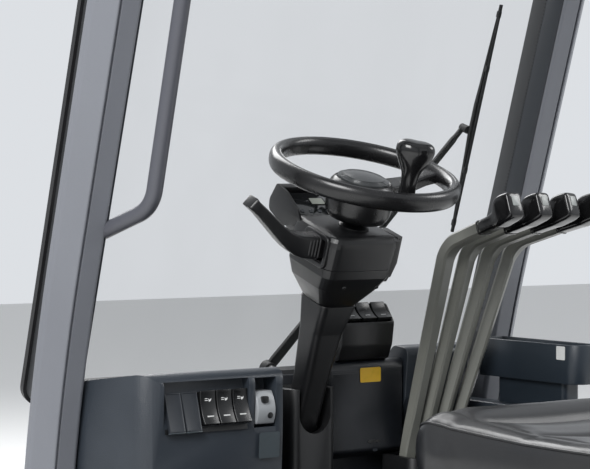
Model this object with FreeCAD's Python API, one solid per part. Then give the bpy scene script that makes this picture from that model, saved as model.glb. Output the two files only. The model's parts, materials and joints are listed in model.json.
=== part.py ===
import FreeCAD
import Part
import math
import os
from FreeCAD import Vector

# Open operator's cab of a counterbalance forklift, in millimetres.
# X is to the driver's right, Y is forward, Z is up from the underside of the frame.

# Frame and floor
FRAME_HALF_WIDTH = 510.0
FRAME_HALF_LENGTH = 740.0
SILL_WIDTH = 80.0
SILL_HEIGHT = 105.0
SHEET = 8.0
FLOOR_TOP = SILL_HEIGHT + SHEET
MAT_TOP = FLOOR_TOP + 5.0
MOUNT_X = 470.0
MOUNT_Y = 620.0
MOUNT_HOLE = 8.5

# Steering column: the wheel's centre, and the lean of its axis from the vertical
WHEEL_Y = 400.0
WHEEL_Z = 900.0
STEER_LEAN = 19.0
RIM_RADIUS = 151.0
SPINNER_RADIUS = 116.0
NECK_SHIFT = 32.0
PIVOT_DROP = 480.0
LEVER_ROOT = (-57.0, -8.0)

# Overhead guard: the line that the front pillars follow
PILLAR_X = 466.0
PILLAR_WIDTH = 74.0
PILLAR_DEPTH = 48.0
BEND_Y = 611.0
BEND_Z = 565.0
LOWER_SLOPE = 0.15
UPPER_SLOPE = 0.323
GUARD_UNDERSIDE = 1600.0
GUARD_TOP = 1655.0
GLASS_GAP = 50.0
WIPER_PIVOT = (30.0, -25.0)

# Dashboard
DASH_TOP = 583.0
LEFT_FACE_Y = 470.0
RIGHT_FACE_Y = 570.0
BULKHEAD_Y = 650.0
DASH_REAR = [(BULKHEAD_Y, 556), (BULKHEAD_Y, 190), (612, 175)]
ROCKER_PITCH = 31.5

# Hydraulic levers
LEVER_X = 212.0
LEVER_PITCH = 34.0
KNOB_X = 240.0
KNOB_PITCH = 61.5
LEVER_PIVOT_Y = 566.0
LEVER_PIVOT_Z = 330.0
LEVER_COUNT = 4

# Seat
DECK_TOP = 305.0
DECK_FRONT = -78.0
SEAT_HALF_WIDTH = 240.0
SEAT_FRONT = 20.0
SEAT_REAR = -505.0
SEAT_UNDERSIDE = 446.0
SEAT_TOP = 556.0

NODES = {}


def at(plane, a, b, level):
    """A point of a drawing plane: 'x' takes (y, z), 'y' takes (x, z) and 'z' takes (x, y)."""
    if plane == "x":
        return Vector(level, a, b)
    if plane == "y":
        return Vector(a, level, b)
    return Vector(a, b, level)


def outline(points, radii, plane="z", level=0.0):
    """A closed wire through the points, each corner rounded to its radius."""
    count = len(points)
    if not isinstance(radii, (list, tuple)):
        radii = [radii] * count
    corners = []
    for i in range(count):
        p = Vector(*points[i], 0)
        back = (Vector(*points[i - 1], 0) - p).normalize()
        ahead = (Vector(*points[(i + 1) % count], 0) - p).normalize()
        if radii[i] <= 0:
            corners.append((p, None, p))
            continue
        half = back.getAngle(ahead) / 2
        run = radii[i] / math.tan(half)
        inward = (back + ahead).normalize()
        middle = p + inward * (radii[i] / math.sin(half) - radii[i])
        corners.append((p + back * run, middle, p + ahead * run))
    edges = []
    for i, (start, middle, end) in enumerate(corners):
        if middle is not None:
            trio = [at(plane, q.x, q.y, level) for q in (start, middle, end)]
            edges.append(Part.Arc(*trio).toShape())
        following = corners[(i + 1) % count][0]
        if (following - end).Length > 1e-6:
            a, b = (at(plane, q.x, q.y, level) for q in (end, following))
            edges.append(Part.makeLine(a, b))
    return Part.Wire(edges)


def slab(points, radii, plane, start, end):
    """The rounded outline, extruded from one level to another."""
    along = at(plane, 0, 0, end - start)
    return Part.Face(outline(points, radii, plane, start)).extrude(along)


def rectangle(a0, a1, b0, b1):
    return [(a0, b0), (a1, b0), (a1, b1), (a0, b1)]


def block(x0, x1, y0, y1, z0, z1, radius=0.0, plane="z"):
    """A box whose edges along one axis are rounded."""
    if plane == "x":
        return slab(rectangle(y0, y1, z0, z1), radius, "x", x0, x1)
    if plane == "y":
        return slab(rectangle(x0, x1, z0, z1), radius, "y", y0, y1)
    return slab(rectangle(x0, x1, y0, y1), radius, "z", z0, z1)


def rod(radius, start, end):
    start, end = Vector(*start), Vector(*end)
    return Part.makeCylinder(radius, (end - start).Length, start, end - start)


def route(points, bend):
    """Straight runs joined by tangent arcs."""
    points = [Vector(*p) for p in points]
    edges = []
    last = points[0]
    for i in range(1, len(points) - 1):
        p = points[i]
        back = (points[i - 1] - p).normalize()
        ahead = (points[i + 1] - p).normalize()
        half = back.getAngle(ahead) / 2
        run = bend / math.tan(half)
        middle = p + (back + ahead).normalize() * (bend / math.sin(half) - bend)
        edges.append(Part.makeLine(last, p + back * run))
        edges.append(Part.Arc(p + back * run, middle, p + ahead * run).toShape())
        last = p + ahead * run
    edges.append(Part.makeLine(last, points[-1]))
    return Part.Wire(edges)


def tube(points, bend, radius):
    path = route(points, bend)
    first = Vector(*points[0])
    ring = Part.Wire(Part.makeCircle(radius, first, Vector(*points[1]) - first))
    return path.makePipeShell([ring], True, False)


def fuse(pieces):
    whole = pieces[0]
    if len(pieces) > 1:
        whole = whole.multiFuse(pieces[1:])
    return whole.removeSplitter()


def mirrored(shape):
    return shape.mirror(Vector(0, 0, 0), Vector(1, 0, 0))


def add(name, *solids):
    """Names a node. More than one solid makes a compound of solids that don't touch."""
    NODES[name] = solids[0] if len(solids) == 1 else Part.makeCompound(list(solids))


def on_column(shape):
    """Turns a shape drawn on the wheel's own axis into place: its Z is up the shaft."""
    shape = shape.copy()
    shape.rotate(Vector(0, 0, 0), Vector(1, 0, 0), STEER_LEAN)
    shape.translate(Vector(0, WHEEL_Y, WHEEL_Z))
    return shape


def section_loft(sections, flat=False):
    """A loft through rounded rectangles: (level, half width, rear, front, corner radius)."""
    wires = []
    for level, half, rear, front, radius in sections:
        wires.append(outline(rectangle(-half, half, rear, front), radius, "z", level))
    return Part.makeLoft(wires, True, flat)


def pillar_y(z):
    """The middle of a front pillar at a height."""
    slope = UPPER_SLOPE if z > BEND_Z else LOWER_SLOPE
    return BEND_Y - slope * (z - BEND_Z)


# Base frame, floor and seat deck
def frame():
    inner = FRAME_HALF_WIDTH - SILL_WIDTH
    channel = [
        (inner, 0), (FRAME_HALF_WIDTH, 0), (FRAME_HALF_WIDTH, SILL_HEIGHT), (inner, SILL_HEIGHT),
        (inner, SILL_HEIGHT - SHEET), (FRAME_HALF_WIDTH - SHEET, SILL_HEIGHT - SHEET),
        (FRAME_HALF_WIDTH - SHEET, SHEET), (inner, SHEET),
    ]
    sill = slab(channel, [0, 6, 6, 0, 0, 3, 3, 0], "y", -FRAME_HALF_LENGTH, FRAME_HALF_LENGTH)
    for y in (-MOUNT_Y, MOUNT_Y):
        sill = sill.cut(rod(MOUNT_HOLE, (MOUNT_X, y, -1), (MOUNT_X, y, SHEET + 1)))
    add("side_sills", sill, mirrored(sill))

    beams = []
    for y in (-690, -120, 600):
        profile = [
            (y, 18), (y + 70, 18), (y + 70, 26), (y + 8, 26),
            (y + 8, 95), (y + 70, 95), (y + 70, 103), (y, 103),
        ]
        beams.append(slab(profile, 0, "x", -inner, inner))
    add("cross_members", *beams)

    plate = block(-500, 500, DECK_FRONT, 696, SILL_HEIGHT, FLOOR_TOP)
    for side in (-1, 1):
        plate = plate.cut(block(side * 520, side * 418, 620, 720, SILL_HEIGHT - 1, FLOOR_TOP + 1))
    add("floor_plate", plate)
    add("floor_mat", block(-415, 364, -70, 636, FLOOR_TOP, MAT_TOP, 25))


def seat_deck():
    """The hood under the seat: a pressed cover with a rolled front edge, open underneath."""
    front, rear = DECK_FRONT, -FRAME_HALF_LENGTH + 4
    outer = [(front, SILL_HEIGHT), (front - 14, DECK_TOP), (rear, DECK_TOP), (rear, SILL_HEIGHT)]
    wall = 4.0
    inner = [
        (front - wall, SILL_HEIGHT - 1), (front - 14 - wall, DECK_TOP - wall),
        (rear + wall, DECK_TOP - wall), (rear + wall, SILL_HEIGHT - 1),
    ]
    shell = slab(outer, [0, 36, 20, 0], "x", -500, 500)
    hollow = slab(inner, [0, 32, 16, 0], "x", -500 + wall, 500 - wall)
    deck = shell.cut(hollow)
    for side in (-1, 1):
        notch = block(side * 425, side * 520, -745, -640, 100, 320)
        deck = deck.cut(notch)
    add("seat_deck", deck)


def bulkhead():
    """Front panel between the pillars, its foot turned forward on the floor plate."""
    rear, front = BULKHEAD_Y, BULKHEAD_Y + 6
    profile = [
        (rear, FLOOR_TOP), (rear, 556), (front, 556),
        (front, FLOOR_TOP + 6), (front + 34, FLOOR_TOP + 6), (front + 34, FLOOR_TOP),
    ]
    inner = PILLAR_X - PILLAR_WIDTH / 2
    add("bulkhead", slab(profile, [0, 0, 0, 6, 0, 0], "x", -inner, inner))


# Overhead guard
def pillar_path(low, high):
    return route(
        [
            (-PILLAR_X, pillar_y(low), low),
            (-PILLAR_X, BEND_Y, BEND_Z),
            (-PILLAR_X, pillar_y(high), high),
        ],
        2500.0,
    )


def guard():
    low, high = 60.0, GUARD_TOP + 20
    half, deep = PILLAR_WIDTH / 2, PILLAR_DEPTH / 2
    section = [
        (-half, deep), (-half, 4), (-6, -deep), (-4, -deep), (-4, -deep + 5),
        (1, -deep + 5), (1, -deep), (half, -deep), (half, deep),
    ]
    wire = outline(section, [8, 10, 4, 0, 0, 0, 0, 8, 8], "z", 0)
    wire.rotate(Vector(0, 0, 0), Vector(1, 0, 0), math.degrees(math.atan(LOWER_SLOPE)))
    wire.translate(Vector(-PILLAR_X, pillar_y(low), low))
    pillar = pillar_path(low, high).makePipeShell([wire], True, False)
    pillar = pillar.common(block(-560, -380, 200, 740, SILL_HEIGHT, GUARD_UNDERSIDE))
    add("pillar_left", pillar)
    add("pillar_right", mirrored(pillar))

    front = pillar_y(GUARD_UNDERSIDE)
    rear = -735.0
    rail = block(-PILLAR_X - half, -PILLAR_X + half, rear, front + 38, GUARD_UNDERSIDE, GUARD_TOP, 16, "y")
    add("roof_side_rails", rail, mirrored(rail))
    inside = PILLAR_X - half
    front_rail = block(-inside, inside, front - 26, front + 34, GUARD_UNDERSIDE, GUARD_TOP, 14, "x")
    rear_rail = block(-inside, inside, rear + 4, rear + 60, GUARD_UNDERSIDE, GUARD_TOP, 14, "x")
    add("roof_cross_rails", front_rail, rear_rail)
    bars = []
    for i in range(-3, 4):
        x = i * 116.0
        bars.append(block(x - 7, x + 7, rear + 60, front - 26, GUARD_UNDERSIDE + 6, GUARD_TOP - 6, 4, "y"))
    add("roof_bars", *bars)

    leg = block(-501, -431, -730, -676, SILL_HEIGHT, GUARD_UNDERSIDE, 12)
    add("rear_legs", leg, mirrored(leg))


def screen_frame(shape):
    """Leans a shape drawn flat on the glass plane: its Y is up the glass and its Z is forward."""
    shape = shape.copy()
    lean = math.degrees(math.atan(UPPER_SLOPE))
    shape.rotate(Vector(0, 0, 0), Vector(1, 0, 0), 90 + lean)
    offset = PILLAR_DEPTH / 2 + GLASS_GAP
    shape.translate(Vector(0, BEND_Y + offset / math.cos(math.radians(lean)), BEND_Z))
    return shape


def windscreen():
    """Flat glass in a rubber edge, on a frame that stands on the pillars' front faces."""
    low, high, half = -44.0, 1060.0, 478.0
    inner = PILLAR_X - PILLAR_WIDTH / 2
    glass = slab(rectangle(-half, half, low, high), 30, "z", -5, 0)
    add("windscreen", screen_frame(glass.cut(rod(9, (*WIPER_PIVOT, -6), (*WIPER_PIVOT, 1)))))
    outer = slab(rectangle(-half - 6, half + 6, low - 6, high + 6), 36, "z", -8, 3)
    hole = slab(rectangle(-half + 16, half - 16, low + 16, high - 16), 22, "z", -9, 4)
    room = slab(rectangle(-half, half, low, high), 30, "z", -5, 0)
    seal = outer.cut(hole).cut(room).cut(rod(12, (*WIPER_PIVOT, -9), (*WIPER_PIVOT, 4)))
    add("windscreen_seal", screen_frame(seal))
    around = slab(rectangle(-half, half, low, high), 30, "z", 3, GLASS_GAP)
    inside = slab(rectangle(-half + 38, half - 38, low + 38, high - 38), 12, "z", 2, GLASS_GAP + 1)
    ring = around.cut(inside).cut(rod(8, (*WIPER_PIVOT, 0), (*WIPER_PIVOT, 30)))
    behind = block(-inner, inner, 500, BULKHEAD_Y + 6, 400, 570)
    add("windscreen_frame", screen_frame(ring).cut(behind))


def wiper():
    """Wiper outside the glass. Points are (x, height up the glass), and outside is below zero."""
    pivot, elbow = WIPER_PIVOT, (370.0, 437.0)
    low, high = (374.0, 242.0), (378.0, 676.0)
    steps = [(8, 30, -5), (11, -5, -24), (6, -24, -44)]
    spindle = fuse([rod(radius, (*pivot, a), (*pivot, b)) for radius, a, b in steps])
    add("wiper_spindle", screen_frame(spindle))
    boss = rod(14, (*pivot, -26), (*pivot, -44))
    run = math.hypot(elbow[0] - pivot[0], elbow[1] - pivot[1])
    turn = math.degrees(math.atan2(elbow[1] - pivot[1], elbow[0] - pivot[0]))
    bar = slab([(0, -9), (run, -5), (run, 5), (0, 9)], [0, 4, 4, 0], "z", -38, -31)
    bar.rotate(Vector(0, 0, 0), Vector(0, 0, 1), turn)
    bar.translate(Vector(*pivot, 0))
    clip = rod(8, (*elbow, -19), (*elbow, -38))
    bore = rod(6.05, (*pivot, -25), (*pivot, -45))
    add("wiper_arm", screen_frame(fuse([boss, bar, clip]).cut(bore)))
    reach = math.hypot(high[0] - low[0], high[1] - low[1])
    turn = math.degrees(math.atan2(high[1] - low[1], high[0] - low[0]))
    side = [(0, -10), (30, -19), (reach - 30, -19), (reach, -10), (reach, -8), (0, -8)]
    blade = fuse([slab(side, 0, "y", -6, 6), block(0, reach, -2, 2, -8, -6.2)])
    blade.rotate(Vector(0, 0, 0), Vector(0, 0, 1), turn)
    blade.translate(Vector(*low, 0))
    add("wiper_blade", screen_frame(blade))


def grab_handle():
    """Bent tube beside the left front pillar, its two ends welded to the pillar."""
    points = [(-436, 555, 796), (-398, 421, 846), (-398, 271, 1370), (-438, 312, 1430)]
    add("grab_handle", tube(points, 55.0, 13.0).cut(NODES["pillar_left"]))


# Dashboard
def dash_left():
    """Moulded pod left of the column, with a sloping bed for the switches."""
    face, end = LEFT_FACE_Y, -112
    plan = [(end, face), (-368, face), (-426, 600), (-426, BULKHEAD_Y), (end, BULKHEAD_Y)]
    side = [(face, DASH_TOP), *DASH_REAR, (face + 12, 380)]
    body = slab(plan, [10, 60, 60, 0, 0], "z", 100, 700)
    body = body.common(slab(side, [26, 0, 0, 30, 40], "x", -500, 0))
    well = [(face - 5, 482), (face - 5, 566), (face + 27, 566), (face + 2, 482)]
    body = body.cut(slab(well, 0, "x", -345, -182))
    well = [(face - 5, 482), (face - 5, 566), (face + 42, 560), (face + 30, 482)]
    add("dash_left", body.cut(slab(well, 0, "x", -170.5, -128)))


def rocker(width, length, height, crown):
    """A rocker key lying on XY, long side up, with a dished face."""
    half = length / 2
    profile = [(-half, 0), (-half, height), (0, height - crown), (half, height), (half, 0)]
    return slab(profile, [0, 3, 40, 3, 0], "x", -width / 2, width / 2)


def on_bed(shape, x, up):
    """Lays a key on the sloping bed of the left pod."""
    lean = math.degrees(math.atan2(25.0, 84.0))
    shape = shape.copy()
    shape.rotate(Vector(0, 0, 0), Vector(1, 0, 0), 90 - lean)
    across = math.radians(lean)
    shape.translate(Vector(x, LEFT_FACE_Y + 2 + up * math.sin(across), 482 + up * math.cos(across)))
    return shape


def on_pod(shape):
    """Lays a shape on the sloping top of the raised pod."""
    shape = shape.copy()
    shape.rotate(Vector(0, 0, 0), Vector(1, 0, 0), 45)
    shape.translate(Vector(0, 577, 655))
    return shape


def pod_keys():
    keys = []
    for i in range(3):
        key = rocker(31, 38, 15, 4)
        key.translate(Vector(97.5 + i * 34.5, 0, -4))
        keys.append(on_pod(key))
    return keys


def switches():
    blanks, keys = [], []
    for i in range(5):
        x = -323.0 + i * ROCKER_PITCH
        if i < 2:
            blanks.append(on_bed(block(-15, 15, -32, 32, 0, 7, 2), x, 34))
        else:
            keys.append(on_bed(rocker(29, 56, 15, 5), x, 38))
    add("switch_blanks", *blanks)
    add("rocker_switches", *keys, *pod_keys())
    face = LEFT_FACE_Y
    side = [(face + 50, 543), (face + 10, 543), (face - 2, 520), (face + 2, 487), (face + 50, 487)]
    toggle = slab(side, [0, 8, 26, 6, 0], "x", -168, -131)
    add("parking_switch", toggle.cut(NODES["dash_left"]))


def dash_right():
    side = [(RIGHT_FACE_Y, 580), *DASH_REAR, (612, 395), (RIGHT_FACE_Y + 4, 410)]
    front = [(50, 600), (50, 480), (62, 100), (208, 100), (221, 480), (221, 600)]
    body = slab(front, 0, "y", RIGHT_FACE_Y, BULKHEAD_Y)
    body = body.common(slab(rectangle(50, 221, RIGHT_FACE_Y, 700), [14, 14, 0, 0], "z", 100, 700))
    add("dash_right", body.common(slab(side, [22, 0, 0, 10, 0, 10], "x", 0, 300)))
    base = BULKHEAD_Y - 14
    centre = [(base, 548), (BULKHEAD_Y, 548), (BULKHEAD_Y, FLOOR_TOP), (base, FLOOR_TOP)]
    add("dash_centre", slab(centre, 0, "x", -111, 49))
    cover = [(574, 500), (566, 590), (608, 594), *DASH_REAR, (612, 420)]
    add("cowl_cover", slab(cover, [8, 16, 18, 0, 0, 10, 20], "x", 224, 368))


def switch_pod():
    """Raised pod with three rockers, on the right half of the dashboard."""
    width = (76.0, 188.0)
    side = [(578, 574), (566, 600), (560, 640), (584, 672), (612, 672), (622, 640), (628, 560)]
    body = slab(side, [8, 20, 12, 10, 12, 10, 0], "x", *width).cut(NODES["dash_right"])
    bed = block(width[0] + 4, width[1] - 4, -21, 21, -4, 30, 3)
    add("switch_pod", body.cut(on_pod(bed)))


# Steering column
def column():
    pivot = on_column(Part.Vertex(0, NECK_SHIFT, -PIVOT_DROP)).Point
    base = block(-48, 48, 540, 636, MAT_TOP, 532, 20)
    base = base.cut(block(-33, 33, 556, 622, 420, 540, 12))
    notch = fuse([rod(33, (0, 530, 487), (0, 570, 487)), block(-33, 33, 530, 570, 487, 560)])
    pin = rod(8, (-44, pivot.y, pivot.z), (44, pivot.y, pivot.z))
    add("column_base", fuse([base.cut(notch), pin]))

    neck = section_loft([
        (-476, 25, 12, 52, 14), (-380, 26, 8, 55, 14), (-290, 30, 2, 60, 14), (-232, 37, -12, 66, 14),
    ], True)
    barrel = rod(22, (-25, NECK_SHIFT, -PIVOT_DROP), (25, NECK_SHIFT, -PIVOT_DROP))
    bore = rod(8.05, (-40, NECK_SHIFT, -PIVOT_DROP), (40, NECK_SHIFT, -PIVOT_DROP))
    add("column_neck", on_column(fuse([neck, barrel]).cut(bore)))

    head = section_loft([
        (-232, 37, -12, 66, 14), (-192, 54, -40, 70, 14), (-166, 61, -54, 74, 14),
        (-116, 62, -58, 72, 14), (-92, 50, -46, 58, 14),
    ], True)
    pocket = block(-80, -34, -36, 20, -143, -99, 10, "x")
    shaft = rod(12, (0, 0, -96), (0, 0, -16))
    pin = rod(4, (*LEVER_ROOT, -147), (*LEVER_ROOT, -95))
    add("column_head", on_column(fuse([head.cut(pocket), shaft, pin])))
    lock = slab([(-40, -104), (30, -104), (38, -130), (26, -176), (-28, -164)], 8, "x", 40, 80)
    step = slab([(-26, -116), (16, -116), (20, -146), (-18, -146)], 6, "x", 80, 94)
    add("tilt_lock", on_column(fuse([lock, step])).cut(NODES["column_head"]))


def display():
    """Thin hood ahead of the wheel, open to the driver, with the screen inside."""
    side = [(47, -104), (64, -84), (104, -66), (136, -60), (150, -93), (146, -111), (97, -124)]
    view = [(-74, -135), (-74, -59), (-16, -59), (46, -82), (46, -135)]
    hood = slab(side, [2, 14, 30, 6, 16, 10, 16], "x", -74, 46)
    hood = hood.common(slab(view, [0, 5, 30, 14, 0], "y", 0, 200))
    recess = slab([(60, -103), (36, -92), (110, -50), (130, -76)], 0, "x", -70, 42)
    add("display_hood", on_column(hood.cut(recess)).cut(NODES["column_head"]))
    screen = slab([(60, -103), (126, -77.54), (124.9, -74.74), (58.9, -100.2)], 0, "x", -66, 34)
    add("display_screen", on_column(screen).cut(NODES["column_head"]))


def steering_wheel():
    middle = Vector(RIM_RADIUS, 0, 2.5)
    section = Part.Ellipse(middle + Vector(0, 0, 16), middle + Vector(11.5, 0, 0), middle)
    rim = Part.Face(Part.Wire(section.toShape())).revolve(Vector(0, 0, 0), Vector(0, 0, 1), 360)
    hub_side = [(12.05, -76), (46, -76), (56, -62), (56, -20), (46, -8), (12.05, -8)]
    hub = Part.Face(outline(hub_side, [0, 4, 8, 12, 6, 0], "y", 0))
    hub = hub.revolve(Vector(0, 0, 0), Vector(0, 0, 1), 360)
    pieces = [rim, hub]
    for turn in (0, 180, 270):
        side = [(44, -36), (44, -12), (90, -12), (RIM_RADIUS, 9), (RIM_RADIUS, -6), (90, -28)]
        spoke = slab(side, [0, 0, 30, 0, 0, 30], "y", -21, 21)
        spoke.rotate(Vector(0, 0, 0), Vector(0, 0, 1), turn)
        pieces.append(spoke)
    foot, tip = (0, -SPINNER_RADIUS, -14), (0, -SPINNER_RADIUS, 58)
    pieces.append(rod(15, foot, (0, -SPINNER_RADIUS, 3)))
    pieces.append(rod(5, foot, tip))
    add("steering_wheel", on_column(fuse(pieces)))
    cap_side = [(0, -8), (44, -8), (41, -1), (0, 4)]
    cap = Part.Face(outline(cap_side, [0, 1, 5, 0], "y", 0))
    add("hub_cap", on_column(cap.revolve(Vector(0, 0, 0), Vector(0, 0, 1), 360)))


def spinner():
    """Turning knob on the wheel: a round foot that opens into a wide two-lobed head."""
    knob = section_loft([
        (5, 13, -13, 13, 12.5), (34, 13, -13, 13, 12.5), (50, 16, -14, 14, 13.5),
        (66, 28, -17, 17, 16), (82, 31, -19, 19, 18), (95, 22, -13, 13, 12.5),
    ])
    knob = knob.cut(rod(5.05, (0, 0, 0), (0, 0, 60)))
    knob.translate(Vector(0, -SPINNER_RADIUS, 0))
    add("spinner_knob", on_column(knob))


def direction_lever():
    """Paddle left of the column. Sections run out along -X: (x, v, w, half v, half w, radius)."""
    table = [
        (-40, -8, -121, 17, 16, 12), (-78, -8, -119, 17, 15, 12), (-112, -6, -112, 14, 13, 10),
        (-146, 0, -97, 13, 11.5, 9), (-176, 8, -68, 12, 11, 8), (-204, 14, -38, 11.5, 11, 8),
    ]
    wires = []
    for x, v, w, half_v, half_w, radius in table:
        wires.append(outline(rectangle(v - half_v, v + half_v, w - half_w, w + half_w), radius, "x", x))
    bore = rod(4.05, (*LEVER_ROOT, -140), (*LEVER_ROOT, -96))
    add("direction_lever", on_column(Part.makeLoft(wires, True, False).cut(bore)))


# Hydraulic levers
def levers():
    for i in range(LEVER_COUNT):
        x, knob_x = LEVER_X + i * LEVER_PITCH, KNOB_X + i * KNOB_PITCH
        spread = knob_x - x
        points = [
            (x, LEVER_PIVOT_Y, LEVER_PIVOT_Z), (x, LEVER_PIVOT_Y - 22, 440),
            (x + spread * 0.4, 466, 779), (knob_x, 352, 818),
        ]
        path = route(points, 90.0)
        start, following = Vector(*points[0]), Vector(*points[1])
        section = outline(rectangle(-13, 13, -10, 10), 5, "z", 0)
        lean = math.degrees(math.atan2(22, 110))
        section.rotate(Vector(0, 0, 0), Vector(1, 0, 0), lean)
        section.translate(start)
        bar = path.makePipeShell([section], True, False)
        eye = rod(16, (x - 12, LEVER_PIVOT_Y, LEVER_PIVOT_Z), (x + 12, LEVER_PIVOT_Y, LEVER_PIVOT_Z))
        bore = rod(7.05, (x - 20, LEVER_PIVOT_Y, LEVER_PIVOT_Z), (x + 20, LEVER_PIVOT_Y, LEVER_PIVOT_Z))
        add(f"lever_bar_{i + 1}", fuse([bar, eye]).cut(bore))
        add(f"lever_knob_{i + 1}", lever_knob(Vector(*points[2]), Vector(*points[3])))


def lever_knob(before, end):
    """Grip pushed over the end of a lever: a sleeve under a taller, flat-ended head."""
    head = section_loft([
        (0, 14, -12, 12, 8), (14, 14, -13, 13, 8), (24, 14, -13, 26, 10),
        (34, 15, -12, 36, 12), (54, 15, -8, 38, 12), (64, 13, -2, 34, 10),
    ])
    along = (end - before).normalize()
    turn = FreeCAD.Rotation(Vector(0, 0, 1), along)
    across = turn.multVec(Vector(1, 0, 0))
    flat = Vector(1, 0, 0) - along * along.x
    twist = math.degrees(math.atan2(across.cross(flat).dot(along), across.dot(flat)))
    head.rotate(Vector(0, 0, 0), Vector(0, 0, 1), twist)
    head.Placement = FreeCAD.Placement(end, turn).multiply(head.Placement)
    return head


def lever_console():
    """Open-topped box round the levers' feet, with the shaft that they turn on."""
    left, right = LEVER_X, LEVER_X + (LEVER_COUNT - 1) * LEVER_PITCH
    box = block(left - 30, right + 30, 500, 600, MAT_TOP, 400, 20)
    box = box.cut(block(left - 18, right + 18, 512, 592, 290, 410, 8))
    ends = [(x, LEVER_PIVOT_Y, LEVER_PIVOT_Z) for x in (left - 26, right + 26)]
    shaft = rod(7, *ends)
    add("lever_console", fuse([box, shaft]))


def right_side():
    """Cover inside the right sill, and the tray that stands on it."""
    side = [(300, FLOOR_TOP), (300, 440), (380, 488), (640, 488), (640, FLOOR_TOP)]
    cover = slab(side, [0, 60, 60, 30, 0], "x", 372, 502)
    add("side_cover", cover.cut(block(415, 510, 540, 720, 90, 500)))
    outer = slab(rectangle(385, 445, 298, 559), [28, 28, 6, 6], "z", 535, 604)
    hollow = slab(rectangle(389, 441, 302, 555), [24, 24, 3, 3], "z", 541, 610)
    foot = block(396, 434, 340, 520, 488, 538, 10)
    add("side_tray", fuse([outer.cut(hollow), foot]))


# Pedals
def pedals():
    left, right = 94.0, 160.0
    heel_y, heel_z = 372.0, 134.0
    pad = slab([(0, -2), (0, 9), (176, 9), (188, 0)], [0, 3, 3, 0], "x", left, right)
    pad.rotate(Vector(0, 0, 0), Vector(1, 0, 0), 33)
    pad.translate(Vector(0, heel_y, heel_z))
    barrel = rod(9, (left, heel_y, heel_z), (right, heel_y, heel_z))
    bore = rod(4.05, (left - 10, heel_y, heel_z), (right + 10, heel_y, heel_z))
    add("accelerator_pedal", fuse([pad, barrel]).cut(bore))
    ears = []
    for x in (left - 9, right + 1):
        ears.append(block(x, x + 8, heel_y - 9, heel_y + 9, MAT_TOP, heel_z + 8, [0, 0, 6, 6], "x"))
    pin = rod(4, (left - 9, heel_y, heel_z), (right + 9, heel_y, heel_z))
    hinge = fuse([*ears, pin])

    x, pivot_y, pivot_z = -86.0, 600.0, 300.0
    arm = tube([(x, pivot_y, pivot_z), (x, 562, 196), (x, 506, 186)], 30, 8)
    eye = rod(14, (x - 9, pivot_y, pivot_z), (x + 9, pivot_y, pivot_z))
    pad = block(-36, 36, -30, 30, 0, 12, 8)
    pad.rotate(Vector(0, 0, 0), Vector(1, 0, 0), 62)
    pad.translate(Vector(x - 12, 508, 188))
    bore = rod(6.05, (x - 20, pivot_y, pivot_z), (x + 20, pivot_y, pivot_z))
    add("brake_pedal", fuse([arm, eye, pad]).cut(bore))
    cheeks = []
    for start in (x - 15, x + 10):
        cheeks.append(block(start, start + 5, pivot_y - 12, BULKHEAD_Y - 14, pivot_z - 14, pivot_z + 14, 6, "x"))
    pin = rod(6, (x - 15, pivot_y, pivot_z), (x + 15, pivot_y, pivot_z))
    add("pedal_hinges", hinge, fuse([*cheeks, pin]))


# Seat
def seat():
    rails = []
    for x in (-150, 122):
        rails.append(block(x, x + 28, -600, -100, DECK_TOP, DECK_TOP + 14.7, 4, "y"))
    add("seat_rails", *rails)
    low, high = DECK_TOP + 15, SEAT_UNDERSIDE - 16
    folds = []
    count = 5
    pitch = (high - low - 16) / count
    for i in range(count):
        z = low + 16 + i * pitch
        folds.append(block(-188, 188, -470, -70, z, z + pitch * 0.55, 30))
        folds.append(block(-178, 178, -460, -80, z, z + pitch, 24))
    add("seat_suspension", fuse([block(-196, 196, -500, -56, low, low + 16, 20), *folds]))
    add("seat_pan", block(-228, 228, SEAT_REAR - 8, SEAT_FRONT - 14, SEAT_UNDERSIDE - 16, SEAT_UNDERSIDE, 40))
    cushion = block(-SEAT_HALF_WIDTH, SEAT_HALF_WIDTH, SEAT_REAR, SEAT_FRONT, SEAT_UNDERSIDE, SEAT_TOP, 62)
    top_edges = [e for e in cushion.Edges if abs(e.BoundBox.ZMin - SEAT_TOP) < 0.1]
    cushion = cushion.makeFillet(34, top_edges)
    add("seat_cushion", cushion)

    hinge_y, hinge_z = -545.0, 470.0
    plate = [(-380, 430), (-380, 446), (-512, 446), (-522, 500), (-566, 500), (-574, 444), (-545, 430)]
    brackets = []
    for side in (-1, 1):
        cheek = slab(plate, [0, 0, 10, 18, 18, 18, 18], "x", side * 228, side * 236)
        pin = rod(8, (side * 206, hinge_y, hinge_z), (side * 236, hinge_y, hinge_z))
        brackets.append(fuse([cheek, pin]))
    add("recliner_brackets", *brackets)

    profile = [(-520, 462), (-598, 1010), (-640, 1004), (-566, 440), (-540, 440)]
    shell = slab(profile, [10, 16, 16, 12, 8], "x", -226, 226)
    front_view = [(-226, 400), (226, 400), (226, 900), (190, 1020), (-190, 1020), (-226, 900)]
    shell = shell.common(slab(front_view, [20, 20, 80, 40, 40, 80], "y", -700, -400))
    for side in (-1, 1):
        shell = shell.cut(rod(8.05, (side * 204, hinge_y, hinge_z), (side * 240, hinge_y, hinge_z)))
    add("seat_back_shell", shell)
    profile = [(-452, 590), (-500, 710), (-530, 985), (-593.5, 982), (-533.5, 560)]
    pad = slab(profile, [24, 120, 30, 10, 10], "x", -216, 216)
    front_view = [(-216, 400), (216, 400), (216, 880), (176, 1000), (-176, 1000), (-216, 880)]
    add("seat_back_cushion", pad.common(slab(front_view, [20, 20, 80, 40, 40, 80], "y", -700, -400)))


frame()
seat_deck()
bulkhead()
guard()
windscreen()
wiper()
grab_handle()
dash_left()
switches()
dash_right()
switch_pod()
column()
display()
steering_wheel()
spinner()
direction_lever()
levers()
lever_console()
right_side()
pedals()
seat()

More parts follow.
